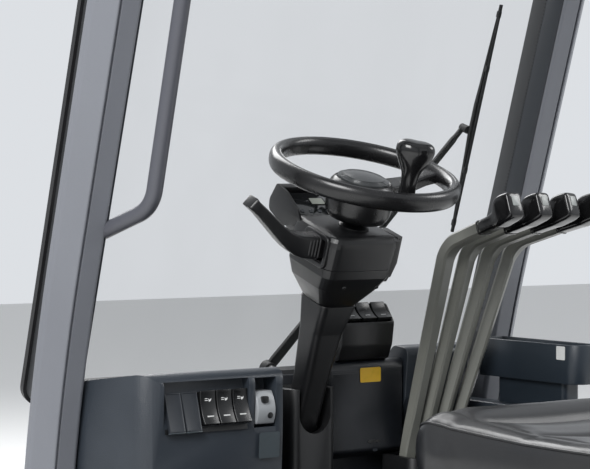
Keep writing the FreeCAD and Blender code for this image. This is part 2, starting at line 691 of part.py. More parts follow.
os.makedirs("parts", exist_ok=True)
for old in os.listdir("parts"):
    os.remove(os.path.join("parts", old))
for name, shape in NODES.items():
    if not shape.isValid():
        print("not valid:", name)
    print(name, len(shape.Solids), round(shape.Volume / 1e6, 3))
    shape.exportStep(f"parts/{name}.step")
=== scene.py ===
# %% [markdown]
# # A forklift operator's cab
#
# The drawing office gives the cab as plain solids: frame, guard, dashboard, column, levers and
# seat. This lesson dresses them. Each step says what a piece is on the real cab, how it could be
# made, and why one way was taken.

# %% Load the drawn cab
import json
import math

import bmesh
import bpy
from mathutils import Matrix, Vector

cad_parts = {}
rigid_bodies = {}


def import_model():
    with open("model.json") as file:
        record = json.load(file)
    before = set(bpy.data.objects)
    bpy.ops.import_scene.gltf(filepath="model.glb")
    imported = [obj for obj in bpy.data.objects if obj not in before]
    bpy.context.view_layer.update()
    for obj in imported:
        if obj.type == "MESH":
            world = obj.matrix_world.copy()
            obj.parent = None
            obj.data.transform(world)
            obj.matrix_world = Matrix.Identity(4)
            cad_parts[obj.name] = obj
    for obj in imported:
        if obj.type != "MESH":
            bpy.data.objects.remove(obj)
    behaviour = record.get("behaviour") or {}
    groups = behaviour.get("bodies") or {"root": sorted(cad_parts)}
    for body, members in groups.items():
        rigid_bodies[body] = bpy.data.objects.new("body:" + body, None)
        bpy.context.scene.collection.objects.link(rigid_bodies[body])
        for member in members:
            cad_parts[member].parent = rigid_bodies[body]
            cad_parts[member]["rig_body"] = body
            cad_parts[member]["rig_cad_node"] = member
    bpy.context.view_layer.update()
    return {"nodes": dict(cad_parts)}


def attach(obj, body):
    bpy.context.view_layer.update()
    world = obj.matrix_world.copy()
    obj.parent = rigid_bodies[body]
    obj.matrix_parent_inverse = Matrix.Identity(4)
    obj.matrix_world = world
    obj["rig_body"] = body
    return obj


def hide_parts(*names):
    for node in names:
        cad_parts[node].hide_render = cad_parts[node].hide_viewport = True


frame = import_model()
nodes = frame["nodes"]

# %% [markdown]
# ## Camera
# The photograph was taken from behind the driver's left shoulder, level with the steering wheel,
# through a long lens. Its direction and lens were worked out from the wheel's ellipse and the
# pillars. A long lens from the right spot is better than a short lens moved closer, because it
# keeps the far levers as large as they look.

# %% Camera
camera_data = bpy.data.cameras.new("camera")
camera_data.sensor_width = 36
camera_data.lens = 118.06
camera_data.clip_end = 60
camera = bpy.data.objects.new("camera", camera_data)
camera.location = (-1.9443, -2.1699, 0.8618)
LOOKING_DOWN, TURNED_RIGHT = 1.0911, 35.054
camera.rotation_euler = (math.radians(90 - LOOKING_DOWN), 0, math.radians(-TURNED_RIGHT))
bpy.context.scene.collection.objects.link(camera)
bpy.context.scene.camera = camera
bpy.context.scene.view_settings.view_transform = "Standard"
print("camera:", round(math.degrees(camera_data.angle), 1), "degrees wide")

# %% [markdown]
# Materials are small networks of nodes. Written as plain node calls they hide what they say, so
# two helpers come first. `Link` wraps a socket, and lets a pattern be written as a sum. `Finish`
# is one material, and its `node` method makes any other node.

# %% Helpers for materials
class Link:
    """A socket that can stand in a formula."""

    def __init__(self, finish, socket):
        self.finish, self.socket = finish, socket

    def maths(self, operation, first, second):
        return self.finish.node("ShaderNodeMath", {"operation": operation}, {0: first, 1: second})

    def __add__(self, other):
        return self.maths("ADD", self, other)

    def __sub__(self, other):
        return self.maths("SUBTRACT", self, other)

    def __rsub__(self, other):
        return self.maths("SUBTRACT", other, self)

    def __mul__(self, other):
        return self.maths("MULTIPLY", self, other)

    __radd__ = __add__
    __rmul__ = __mul__


class Finish:
    """One material, made of nodes."""

    def __init__(self, name):
        self.material = bpy.data.materials.new(name)
        self.material.use_nodes = True
        self.tree = self.material.node_tree
        self.tree.nodes.clear()
        self.output = self.tree.nodes.new("ShaderNodeOutputMaterial")
        self.place = self.node("ShaderNodeTexCoord", out="Object")

    def node(self, kind, settings=None, inputs=None, out=0):
        made = self.tree.nodes.new(kind)
        for key, value in (settings or {}).items():
            setattr(made, key, value)
        for key, value in (inputs or {}).items():
            if isinstance(value, Link):
                self.tree.links.new(value.socket, made.inputs[key])
            elif value is not None:
                made.inputs[key].default_value = value
        return Link(self, made.outputs[out])

    def noise(self, scale, detail=3.0, stretch=(1, 1, 1)):
        """Noise in metres: a scale of 100 gives blots about 1 cm across."""
        where = self.node("ShaderNodeMapping", {}, {"Vector": self.place, "Scale": stretch})
        inputs = {"Vector": where, "Scale": scale, "Detail": detail}
        return self.node("ShaderNodeTexNoise", {}, inputs)

    def cells(self, scale, feature="F1"):
        where = {"Vector": self.place, "Scale": scale}
        return self.node("ShaderNodeTexVoronoi", {"feature": feature}, where, "Distance")

    def spread(self, value, low, high):
        """Stretches a pattern so that low becomes 0 and high becomes 1."""
        return self.node("ShaderNodeMapRange", {}, {0: value, 1: low, 2: high, 3: 0.0, 4: 1.0})

    def blend(self, mask, first, second):
        """One colour where the mask is 0, another where it is 1."""
        inputs = {0: mask, 6: self.colour(first), 7: self.colour(second)}
        return self.node("ShaderNodeMix", {"data_type": "RGBA"}, inputs, 2)

    @staticmethod
    def colour(value):
        return (*value, 1) if isinstance(value, tuple) and len(value) == 3 else value

    def bump(self, height, depth):
        """Depth is in millimetres."""
        inputs = {"Height": height, "Distance": depth / 1000, "Strength": 1.0}
        return self.node("ShaderNodeBump", {}, inputs, "Normal")

    def surface(self, **values):
        """The shader itself, with its sockets named in words."""
        inputs = {key.replace("_", " "): self.colour(value) for key, value in values.items()}
        shader = self.node("ShaderNodeBsdfPrincipled", {}, inputs)
        self.tree.links.new(shader.socket, self.output.inputs["Surface"])
        return self.material


# %% [markdown]
# The guard is powder coated. Up close, the coat has a fine ripple like orange peel, and it is a
# little darker where hands and cloths rub dust into it. One flat grey would look like paper.

# %% Painted metal
def painted(name, base, peel=0.05, rough=0.42, dirt=0.35):
    """Powder coat: a ripple about 1.5 mm across, slow patches of dust, and fine specks."""
    f = Finish(name)
    patches = f.spread(f.noise(5.0, 5.0, (1, 1, 0.35)), 0.42, 0.72)
    specks = f.spread(f.noise(900.0, 2.0), 0.62, 0.74)
    darker = tuple(v * 0.72 for v in base)
    coat = f.blend(patches * dirt, base, darker)
    coat = f.blend(specks * 0.22, coat, tuple(v * 0.45 for v in base))
    shine = rough + patches * 0.12 + f.noise(60.0) * 0.06
    ripple = f.noise(650.0, 2.0) + f.noise(210.0, 1.0) * 0.6
    return f.surface(Base_Color=coat, Roughness=shine, Normal=f.bump(ripple, peel))


guard_grey = painted("guard_grey", (0.225, 0.235, 0.262), 0.035, 0.36)
handle_grey = painted("handle_grey", (0.095, 0.098, 0.115), 0.03, 0.34)
frame_black = painted("frame_black", (0.042, 0.044, 0.047), 0.06, 0.45, 0.6)
deck_grey = painted("deck_grey", (0.11, 0.114, 0.12), 0.06, 0.45, 0.6)
lever_grey = painted("lever_grey", (0.210, 0.213, 0.190), 0.03, 0.34, 0.4)
wiper_black = painted("wiper_black", (0.016, 0.016, 0.017), 0.03, 0.5, 0.3)
print("paints:", len(bpy.data.materials))

# %% [markdown]
# Dashboard mouldings have a leather-like grain that was etched into the mould. Cells with soft
# walls give it: a Voronoi pattern read by its distance to the edge. The column and the switch
# bodies have a much finer spark-eroded grain, where plain noise is nearer the truth.

# %% Moulded plastic
def grained(name, base, rough, size=420.0, depth=0.09):
    """Etched grain. The size is in cells per metre, the depth in millimetres."""
    f = Finish(name)
    walls = f.spread(f.cells(size, "DISTANCE_TO_EDGE"), 0.0, 0.22)
    dusty = f.spread(f.noise(7.0, 6.0), 0.48, 0.75)
    coat = f.blend(dusty * 0.3, base, tuple(v * 1.6 + 0.008 for v in base))
    shine = rough + dusty * 0.1 - walls * 0.05
    height = walls + f.noise(size * 3, 2.0) * 0.4
    return f.surface(Base_Color=coat, Roughness=shine, Normal=f.bump(height, depth))


def moulded(name, base, rough, grain=0.02, smear=0.14):
    """Smooth plastic: wiped and handled, so the shine changes from place to place."""
    f = Finish(name)
    wiped = f.spread(f.noise(22.0, 5.0, (1, 1, 0.4)), 0.4, 0.7)
    scratches = f.spread(f.noise(260.0, 3.0, (1, 0.06, 1)), 0.6, 0.75)
    coat = f.blend(wiped * 0.3, base, tuple(v * 1.5 + 0.003 for v in base))
    shine = rough + wiped * smear + scratches * smear * 0.4
    return f.surface(
        Base_Color=coat, Roughness=shine, Specular_IOR_Level=0.5,
        Normal=f.bump(f.noise(1400.0, 2.0), grain),
    )


# The dashboard is one plastic in two copies. The paler, bluer first copy is painted light and
# reflection on the left pod, cowl and side cover. The darker second copy is painted shade on the
# right pod and the centre.
dash_plastic = grained("dash_plastic", (0.031, 0.038, 0.048), 0.34)
shaded_dash_plastic = grained("shaded_dash_plastic", (0.014, 0.016, 0.020), 0.36)
tray_plastic = grained("tray_plastic", (0.020, 0.028, 0.038), 0.38, 520.0, 0.06)
black_plastic = moulded("black_plastic", (0.008, 0.0082, 0.009), 0.33, 0.03, 0.1)
rim_plastic = moulded("rim_plastic", (0.0085, 0.0085, 0.009), 0.25, 0.004, 0.05)
gloss_black = moulded("gloss_black", (0.007, 0.007, 0.0075), 0.13, 0.003, 0.05)
# The hub cap's base is lighter than the wheel's black. This is a painted sheen that stands for
# lamps reflected in gloss black plastic.
cap_plastic_painted_sheen = moulded("cap_plastic_painted_sheen", (0.042, 0.045, 0.047), 0.20, 0.003, 0.06)
key_plastic = moulded("key_plastic", (0.020, 0.024, 0.030), 0.34, 0.02)
rocker_plastic = moulded("rocker_plastic", (0.006, 0.0065, 0.007), 0.24, 0.01)
# Painted shade: the liner plastic is a dark sheet on the pillars' inner faces.
liner_shade_plastic = grained("liner_shade_plastic", (0.022, 0.026, 0.032), 0.42, 500.0, 0.05)
silver_plastic = moulded("silver_plastic", (0.33, 0.345, 0.36), 0.3, 0.02)
print("with the plastics:", len(bpy.data.materials))

# %% [markdown]
# The seat is covered in glossy vinyl. Its print is a fine pebble grain with soft creases where
# the driver sits. The floor mat and the bellows are rubber, dull and dusty. Both need their own
# scale of relief, so each gets its own recipe.

# %% Vinyl and rubber
def vinyl(name):
    """Glossy vinyl: a pebble print, wide soft creases, and worn patches that shine less."""
    f = Finish(name)
    pebble = f.spread(f.cells(620.0, "SMOOTH_F1"), 0.0, 0.9)
    worn = f.spread(f.noise(5.0, 4.0), 0.5, 0.72)
    creases = f.spread(f.noise(13.0, 2.0, (1, 2.0, 1)), 0.46, 0.66)
    coat = f.blend(worn * 0.5, (0.0085, 0.009, 0.0105), (0.020, 0.019, 0.018))
    height = pebble * 0.10 + creases * 0.9
    return f.surface(
        Base_Color=coat, Roughness=0.27 + worn * 0.14 + pebble * 0.04,
        Normal=f.bump(height, 0.14),
    )


STUD_ROWS = 698.0  # radians in a metre, for one stud each 9 mm


def rubber(name, base, rough, tread=0.0):
    """Dull rubber. A tread adds rows of round studs, as on a floor mat."""
    f = Finish(name)
    dusty = f.spread(f.noise(9.0, 6.0), 0.45, 0.72)
    height = f.noise(700.0, 3.0) * 0.2
    coat = f.blend(dusty * 0.5, base, tuple(v * 2.2 + 0.012 for v in base))
    if tread:
        split = f.node("ShaderNodeSeparateXYZ", {}, {"Vector": f.place})
        across = f.node("ShaderNodeMath", {"operation": "SINE"}, {0: split * STUD_ROWS})
        split_y = Link(f, split.socket.node.outputs["Y"])
        along = f.node("ShaderNodeMath", {"operation": "SINE"}, {0: split_y * STUD_ROWS})
        studs = f.spread(across * along, 0.25, 0.6)
        height = height + studs
        coat = f.blend(studs * 0.4, coat, tuple(v * 0.7 for v in base))
    return f.surface(
        Base_Color=coat, Roughness=rough + dusty * 0.12, Normal=f.bump(height, 0.1 + tread),
    )


seat_vinyl = vinyl("seat_vinyl")
floor_rubber = rubber("floor_rubber", (0.030, 0.030, 0.031), 0.68, 0.9)
pedal_rubber = rubber("pedal_rubber", (0.022, 0.022, 0.023), 0.6)
bellows_rubber = rubber("bellows_rubber", (0.020, 0.020, 0.021), 0.55)
seal_rubber = rubber("seal_rubber", (0.010, 0.010, 0.011), 0.5)
print("with vinyl and rubber:", len(bpy.data.materials))

# %% [markdown]
# Bare metal shows on the seat rails, the pins and the bolts. Drawn or turned metal has fine lines
# one way, so the noise is stretched. The glass is thin and flat: it is mostly see-through, with
# a reflection that grows at a shallow angle and a faint film of dust. Its own colour is kept
# dark, because a pale one looks like milk when the seat is seen through it. A full glass shader
# would bend and darken what lies behind without need.

# %% Metal, glass and screen
def metal(name, base, rough=0.3, stretch=(1, 0.03, 1)):
    """Bare metal with drawn lines, or an even surface where the stretch is the same all ways."""
    f = Finish(name)
    lines = f.noise(900.0, 2.0, stretch)
    stain = f.spread(f.noise(18.0, 5.0), 0.5, 0.75)
    coat = f.blend(stain * 0.5, base, tuple(v * 0.6 for v in base))
    return f.surface(
        Base_Color=coat, Metallic=1.0, Roughness=rough + stain * 0.2 + lines * 0.08,
        Normal=f.bump(lines, 0.02),
    )


def clear_glass(name):
    """A clear pane with a film of dust that dulls it in patches."""
    f = Finish(name)
    film = f.spread(f.noise(4.0, 6.0, (1, 1, 0.4)), 0.45, 0.8)
    return f.surface(
        Base_Color=f.blend(film, (0.05, 0.065, 0.06), (0.34, 0.37, 0.36)),
        Roughness=0.03 + film * 0.12, Alpha=0.055 + film * 0.04,
        Specular_IOR_Level=0.6,
    )


def screen_glass(name):
    """Dark glass over an instrument: nearly black, with a clear face."""
    f = Finish(name)
    smears = f.spread(f.noise(30.0, 4.0), 0.5, 0.8)
    return f.surface(
        Base_Color=(0.010, 0.011, 0.012), Roughness=0.1 + smears * 0.12, Coat_Weight=0.5,
        Normal=f.bump(smears, 0.005),
    )


def crystal(name):
    """A grey-green liquid crystal window: faint rows of cells."""
    f = Finish(name)
    rows = f.spread(f.cells(700.0), 0.2, 0.6)
    coat = f.blend(rows * 0.3, (0.36, 0.38, 0.34), (0.27, 0.29, 0.26))
    return f.surface(Base_Color=coat, Roughness=0.16 + rows * 0.05, Normal=f.bump(rows, 0.01))


def sticker(name, base):
    """A blank label: smooth film with a dusty, slightly worn face."""
    f = Finish(name)
    worn = f.spread(f.noise(70.0, 5.0), 0.5, 0.72)
    coat = f.blend(worn * 0.35, base, tuple(v * 0.7 for v in base))
    return f.surface(
        Base_Color=coat, Roughness=0.34 + worn * 0.2, Normal=f.bump(f.noise(500.0), 0.02),
    )


steel = metal("steel", (0.42, 0.43, 0.44))
zinc = metal("zinc", (0.50, 0.50, 0.47), 0.34, (1, 1, 1))
glass = clear_glass("glass")
screen = screen_glass("screen")
window = crystal("window")
yellow_label = sticker("yellow_label", (0.78, 0.47, 0.02))
white_label = sticker("white_label", (0.70, 0.71, 0.70))
grey_label = sticker("grey_label", (0.060, 0.075, 0.085))
pale_label = sticker("pale_label", (0.36, 0.38, 0.37))
print("materials:", len(bpy.data.materials))

# %% [markdown]
# Each drawn solid gets its finish now. Most solids are replaced by a modelled piece later, but
# those whose shape is right stay, and the others lend their finish to a copy with eased edges.

# %% Give every solid its finish
wearing = {
    guard_grey: "pillar_left pillar_right roof_side_rails roof_cross_rails roof_bars rear_legs",
    handle_grey: "grab_handle",
    frame_black: "side_sills cross_members floor_plate bulkhead windscreen_frame",
    deck_grey: "seat_deck",
    floor_rubber: "floor_mat",
    seal_rubber: "windscreen_seal wiper_blade",
    glass: "windscreen",
    wiper_black: "wiper_arm",
    dash_plastic: "dash_left cowl_cover side_cover",
    shaded_dash_plastic: "dash_right dash_centre",
    tray_plastic: "side_tray",
    key_plastic: "switch_blanks rocker_switches",
    silver_plastic: "parking_switch",
    black_plastic: "switch_pod column_base column_neck column_head tilt_lock display_hood "
    "direction_lever lever_console seat_back_shell wiper_spindle",
    rim_plastic: "steering_wheel",
    gloss_black: "hub_cap spinner_knob lever_knob_1 lever_knob_2 lever_knob_3 lever_knob_4",
    screen: "display_screen",
    lever_grey: "lever_bar_1 lever_bar_2 lever_bar_3 lever_bar_4",
    pedal_rubber: "accelerator_pedal brake_pedal",
    steel: "pedal_hinges seat_rails seat_pan recliner_brackets",
    bellows_rubber: "seat_suspension",
    seat_vinyl: "seat_cushion seat_back_cushion",
}
for finish, names in wearing.items():
    for name in names.split():
        if name in nodes:
            nodes[name].data.materials.clear()
            nodes[name].data.materials.append(finish)
bare = set(nodes) - {name for names in wearing.values() for name in names.split()}
print("solids without a finish:", sorted(bare))

# %% [markdown]
# ## Tools for modelling
# Every piece starts as one of Blender's primitives and is shaped in edit mode, as by hand. `begin`
# adds the primitive with nothing else selected, because an operator acts on all that is selected.
# `pick` then selects faces, edges or corners by where they are. Lengths in millimetres are easier
# to read on a piece of this size, so `mm` turns them into metres and `move` into a matrix.

# %% Starting a piece
def mm(*values):
    return Vector(values) / 1000


def move(*values):
    """The matrix of a move in millimetres."""
    return Matrix.Translation(mm(*values))


def close_edit():
    """Leaves edit mode, if a piece is still open."""
    if bpy.context.object and bpy.context.object.mode != "OBJECT":
        bpy.ops.object.mode_set(mode="OBJECT")


def only(piece):
    """Makes one piece the active one, with nothing else selected."""
    bpy.ops.object.select_all(action="DESELECT")
    bpy.context.view_layer.objects.active = piece
    piece.select_set(True)


def begin(name, primitive, **options):
    """Adds a primitive by name, with nothing else selected, and opens it for editing."""
    close_edit()
    bpy.ops.object.select_all(action="DESELECT")
    scale = options.pop("stretch", (1, 1, 1))
    getattr(bpy.ops.mesh, f"primitive_{primitive}_add")(**options)
    piece = bpy.context.object
    piece.scale = scale
    piece.name = name
    bpy.ops.object.transform_apply(location=True, rotation=True, scale=True)
    bpy.ops.object.mode_set(mode="EDIT")
    return piece


def pick(test, what="faces"):
    """Selects the faces, edges or verts that pass the test, in edit mode, and nothing else."""
    form = bmesh.from_edit_mesh(bpy.context.object.data)
    bpy.ops.mesh.select_mode(type={"faces": "FACE", "edges": "EDGE", "verts": "VERT"}[what])
    bpy.ops.mesh.select_all(action="DESELECT")
    for item in getattr(form, what):
        if test(item):
            item.select_set(True)
    bmesh.update_edit_mesh(bpy.context.object.data)


def middle(item):
    """The middle of a face or of an edge."""
    return sum((v.co for v in item.verts), Vector()) / len(item.verts)


def runs(edge, axis):
    """How much an edge runs along an axis: 1 along it, 0 across it."""
    way = (edge.verts[0].co - edge.verts[1].co).normalized()
    return abs(getattr(way, axis))


def round_off(axis, width, segments, least=0.9, **options):
    """Bevels the edges of the open piece that run along one axis."""
    pick(lambda e: runs(e, axis) > least, "edges")
    bpy.ops.mesh.bevel(offset=width, segments=segments, **options)


def bar(name, low, high):
    """A box between two corners, open for editing."""
    return begin(name, "cube", size=1, location=(low + high) / 2, stretch=high - low)


def collar(name, axis, centre, radius, depth, rim, step, vertices=40):
    """A short cylinder that lies along an axis, with a raised or sunk face at both ends."""
    turn = {"x": (0, math.pi / 2, 0), "y": (math.pi / 2, 0, 0)}[axis]
    piece = begin(
        name, "cylinder", vertices=vertices, radius=radius, depth=depth, location=centre,
        rotation=turn,
    )
    pick(lambda f: abs(getattr(f.normal, axis)) > 0.9)
    bpy.ops.mesh.inset(thickness=rim, depth=step)
    return piece


# %% [markdown]
# `grow` extrudes the selected face again and again, and moves, widens or turns it at each step.
# That is how a turned knob, a tapered sleeve or a moulded case is drawn out of one flat face.
# Scaling by hand would do the same, but a table of sections can be read and corrected. `lathe`
# grows a round piece from its own table, as a cap, a screw or a bolt is turned.

# %% Growing
def reshape(change, centre):
    """Applies a 3 by 3 change to the selected corners, about a centre."""
    form = bmesh.from_edit_mesh(bpy.context.object.data)
    for v in form.verts:
        if v.select:
            v.co = centre + change @ (v.co - centre)
    bmesh.update_edit_mesh(bpy.context.object.data)


def grow(start, steps, size=(1.0, 1.0)):
    """Extrudes the selected face from point to point. A step is (point, width, depth, turn)."""
    place, (wide, deep), turned = start, size, 0.0
    for point, new_wide, new_deep, *rest in steps:
        turn = rest[0] if rest else turned
        bpy.ops.mesh.extrude_region_move(TRANSFORM_OT_translate={"value": point - place})
        unturn = Matrix.Rotation(math.radians(turned), 3, "Y").inverted()
        ratio = Matrix.Diagonal((new_wide / wide, new_deep / deep, 1.0))
        reshape(Matrix.Rotation(math.radians(turn), 3, "Y") @ ratio @ unturn, point)
        place, wide, deep, turned = point, new_wide, new_deep, turn


def lathe(name, sides, sections):
    """A round piece, grown straight up through (height, radius) in millimetres."""
    height, radius = sections[0]
    piece = begin(
        name, "circle", vertices=sides, radius=radius / 1000, fill_type="NGON",
        location=mm(0, 0, height),
    )
    bpy.ops.mesh.select_all(action="SELECT")
    steps = [(mm(0, 0, level), wide, wide) for level, wide in sections[1:]]
    grow(mm(0, 0, height), steps, (radius, radius))
    return piece


# %% [markdown]
# A piece that is modelled still has to be finished. `soften` breaks its edges with a bevel, since
# no real edge is perfectly sharp. `settle` turns its faces outward, shades it, gives it a finish,
# names the part of the cab it rides on, and hides the solid it stands for.

# %% Finishing
def modify(piece, kind, **settings):
    """Adds one modifier and applies it."""
    close_edit()
    modifier = piece.modifiers.new(kind.lower(), kind)
    for key, value in settings.items():
        setattr(modifier, key, value)
    only(piece)
    bpy.ops.object.modifier_apply(modifier=modifier.name)


def soften(piece, width, segments=3, angle=30):
    modify(
        piece, "BEVEL", width=width, segments=segments, limit_method="ANGLE",
        angle_limit=math.radians(angle), miter_outer="MITER_ARC", use_clamp_overlap=True,
    )


def settle(piece, finish, body, smooth=35, place=None, replaces=()):
    """Puts a piece in its place on the cab, and gives it all that it needs there."""
    close_edit()
    if place is not None:
        piece.data.transform(place)
    only(piece)
    bpy.ops.object.mode_set(mode="EDIT")
    bpy.ops.mesh.select_all(action="SELECT")
    bpy.ops.mesh.normals_make_consistent(inside=False)
    bpy.ops.object.mode_set(mode="OBJECT")
    bpy.ops.object.shade_smooth_by_angle(angle=math.radians(smooth))
    piece.data.materials.clear()
    piece.data.materials.append(finish)
    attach(piece, body)
    if replaces:
        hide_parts(*replaces)
    return piece


def join(name, pieces):
    """Several pieces of one finish become one."""
    close_edit()
    bpy.ops.object.select_all(action="DESELECT")
    for piece in pieces:
        piece.select_set(True)
    bpy.context.view_layer.objects.active = pieces[0]
    if len(pieces) > 1:
        bpy.ops.object.join()
    pieces[0].name = name
    return pieces[0]


def copy_of(piece, name, place):
    """A copy with its own mesh, moved by a matrix."""
    twin = piece.copy()
    twin.data = piece.data.copy()
    twin.name = name
    twin.data.transform(place)
    bpy.context.scene.collection.objects.link(twin)
    return twin


def facing(point, direction, base=Matrix.Identity(4)):
    """A place at a point, with +Z turned to a direction."""
    turn = Vector(direction).to_track_quat("Z", "Y").to_matrix().to_4x4()
    return base @ Matrix.Translation(point) @ turn


def tell(piece):
    print(piece.name + ":", len(piece.data.polygons), "faces")


def scatter(model, name, places, finish, body):
    """Copies of one model at many places, as one piece. The model is used up."""
    copies = [copy_of(model, name, place) for place in places]
    bpy.data.objects.remove(model)
    return settle(join(name, copies), finish, body, 30, None, ())


# %% [markdown]
# ## The steering column
# The column leans back 19 degrees. Its pieces are easier to draw upright, with the wheel's centre
# at the origin, and then turned into place in one move.

# %% Where the column stands
LEAN_BACK = 19
COLUMN = Matrix.Translation((0, 0.400, 0.900)) @ Matrix.Rotation(math.radians(LEAN_BACK), 4, "X")
print("wheel centre:", [round(v, 3) for v in COLUMN.translation])

# %% [markdown]
# The rim is a foam ring moulded on a steel core. Its section is not round: it is taller than it
# is wide, with a flatter outer wall, and a parting line runs round the top where the two mould
# halves met. A torus is the right start. Its section is reshaped by moving corners by height,
# and the parting line is one ring of faces, inset and pressed in.

# %% Wheel rim
RIM, CORE = 0.151, 0.0115  # the radius of the ring, and of its section before it is reshaped


def wheel_rim():
    ring = begin(
        "wheel_rim", "torus", major_segments=128, minor_segments=28,
        major_radius=RIM, minor_radius=CORE,
    )
    form = bmesh.from_edit_mesh(ring.data)
    for v in form.verts:
        out = math.hypot(v.co.x, v.co.y)
        across, up = (out - RIM) / CORE, v.co.z / CORE
        across = math.copysign(abs(across) ** 0.82, across)
        up = math.copysign(abs(up) ** 0.9, up)
        new = RIM + across * 0.0113
        v.co.x, v.co.y, v.co.z = v.co.x * new / out, v.co.y * new / out, 0.0025 + up * 0.0158
    bmesh.update_edit_mesh(ring.data)
    pick(lambda f: middle(f).z > 0.0172 and math.hypot(*middle(f).xy) < 0.1512)
    bpy.ops.mesh.inset(thickness=0.0006, depth=-0.0005)
    return ring


# %% [markdown]
# A bowl-shaped hub carries three flat arms. The bowl is drawn out of one round face. An arm is
# grown along the line from hub to rim, and it drops toward the hub, so that the cap lies below
# the rim. Two more arms are copies, turned about the column.

# %% Hub and arms
def wheel_hub():
    """A bowl under a flat flange."""
    return lathe("wheel_hub", 96, [
        (-76, 46), (-75, 48), (-68, 53), (-60, 56), (-40, 56), (-22, 56), (-16, 54), (-11, 50),
        (-8.5, 46.5), (-9.5, 45.5), (-9.5, 20), (-9.5, 6),
    ])


def wheel_spoke():
    """One arm: broad, thin, and a little narrower in the middle."""
    arm = bar("wheel_spoke", mm(44, -24, -33), mm(52, 24, -14))
    pick(lambda f: f.normal.x > 0.9)
    grow(
        mm(52, 0, -23.5),
        [
            (mm(72, 0, -20.5), 17, 21, 0), (mm(96, 0, -16), 14, 17, -8),
            (mm(122, 0, -6), 12.5, 16, -20), (mm(147, 0, 1.5), 13, 19, -8),
        ],
        (19, 24),
    )
    soften(arm, 0.0042, 4)
    return arm


rim, hub, spoke = wheel_rim(), wheel_hub(), wheel_spoke()
turned_arms = [
    copy_of(spoke, "wheel_spoke", Matrix.Rotation(math.radians(a), 4, "Z")) for a in (180, 270)
]
wheel = join("wheel", [rim, hub, spoke, *turned_arms])
settle(wheel, rim_plastic, "steering", 40, COLUMN, ["steering_wheel"])
tell(wheel)

# %% [markdown]
# The cap over the hub is a shallow dome with three fine steps near its edge. A circle filled with
# a triangle fan would pinch at the middle, so the dome is grown from a flat face in rings, and
# each step of the edge is two rings with a small drop between them.

# %% Hub cap
def hub_cap():
    cap = lathe("hub_dome", 96, [
        (-9, 44), (-7, 44), (-5.5, 43.4), (-5.2, 41.2), (-4.2, 40.8), (-4.0, 38.4), (-3.0, 38),
        (-2.8, 35.6), (-1.6, 35.2), (0.4, 28), (2.0, 19), (2.8, 10), (3.1, 3),
    ])
    return settle(cap, cap_plastic_painted_sheen, "steering", 30, COLUMN, ["hub_cap"])


tell(hub_cap())

# %% [markdown]
# The driver steers one-handed with the turning knob. A round stem opens into a head that is
# broader one way than the other, with a shallow dip across its top, so that the palm can hold
# it. It is grown from a circle, with its width and depth changed apart, and the dip is made by
# sinking the corners near the middle of the top. Two levels of subdivision make it smooth, and it
# stands on the rim turned as the last hand left it.

# %% Turning knob
KNOB_SPOT = (0, -116)  # on the column's own axes, in millimetres
KNOB_TURN = -38


def turning_knob():
    knob = begin("turning_knob", "circle", vertices=24, radius=0.0146, fill_type="NGON")
    bpy.ops.mesh.select_all(action="SELECT")
    table = [
        (5, 14.6, 14.6), (7, 14.6, 14.6), (20, 13.6, 13.6), (34, 13.9, 13.4), (44, 16, 14.4),
        (54, 21.5, 17.5), (64, 27.5, 20.5), (73, 31, 22), (81, 32.5, 22.5), (88, 31, 21),
        (93, 26.5, 17.5), (95.5, 19, 12.5), (96, 9, 6),
    ]
    grow(mm(0, 0, 0), [(mm(0, 0, w), a, b) for w, a, b in table], (14.6, 14.6))
    form = bmesh.from_edit_mesh(knob.data)
    for v in form.verts:
        rise = max(0.0, (v.co.z - 0.070) / 0.025)
        dip = math.exp(-((v.co.x / 0.010) ** 2))
        v.co.z -= 0.0012 * rise * dip
        v.co.y *= 1 - 0.04 * min(1.0, rise) * dip
    first_ring = [v for v in form.verts if v.co.z < 0.004]
    bmesh.ops.delete(form, geom=first_ring, context="VERTS")
    bmesh.update_edit_mesh(knob.data)
    pick(lambda e: e.is_boundary, "edges")
    bpy.ops.mesh.edge_face_add()
    modify(knob, "SUBSURF", levels=2, render_levels=2)
    turn = Matrix.Rotation(math.radians(KNOB_TURN), 4, "Z")
    knob.data.transform(move(*KNOB_SPOT, 0) @ turn)
    return settle(knob, gloss_black, "spinner", 60, COLUMN, ["spinner_knob"])


def knob_ring():
    """The bright ring of the knob's pin, on the rim."""
    ring = begin(
        "knob_ring", "cylinder", vertices=48, radius=0.0158, depth=0.0035,
        location=mm(*KNOB_SPOT, 3.2),
    )
    soften(ring, 0.001, 2)
    return settle(ring, steel, "steering", 30, COLUMN, ())


tell(turning_knob())
tell(knob_ring())

# %% [markdown]
# ### Column cases
# Two moulded half-shells close round the column. They are faceted, with crisp edges that were
# only just broken in the mould. A case is grown from a rectangle through a table of sections. The
# corners that run up it get a wide bevel, the rings round it a narrow one. The parting line
# between the shells is a shallow groove: three cuts right round, and the middle one pressed in.

# %% Cases
def rounded_column(name, start, sections, corner):
    """A case grown upward. A section is (w, half width, rear, front) in millimetres."""
    w, half, rear, front = start
    centre = mm(0, (rear + front) / 2, w)
    case = begin(name, "plane", size=1, location=centre)
    bpy.ops.mesh.select_all(action="SELECT")
    reshape(Matrix.Diagonal((half / 500, (front - rear) / 1000, 1)), centre)
    steps = [(mm(0, (r + f) / 2, level), wide, f - r) for level, wide, r, f in sections]
    grow(centre, steps, (half, front - rear))
    round_off("z", corner, 5, 0.5, offset_type="OFFSET", clamp_overlap=True)
    bpy.ops.mesh.select_all(action="SELECT")
    bpy.ops.mesh.normals_make_consistent(inside=False)
    bpy.ops.object.mode_set(mode="OBJECT")
    return case


def hollow_for(case, low, high):
    """Cuts a box-shaped pocket."""
    tool = bar("pocket_tool", low, high)
    soften(tool, 0.006, 3)
    modify(case, "BOOLEAN", operation="DIFFERENCE", object=tool, solver="EXACT")
    bpy.data.objects.remove(tool)


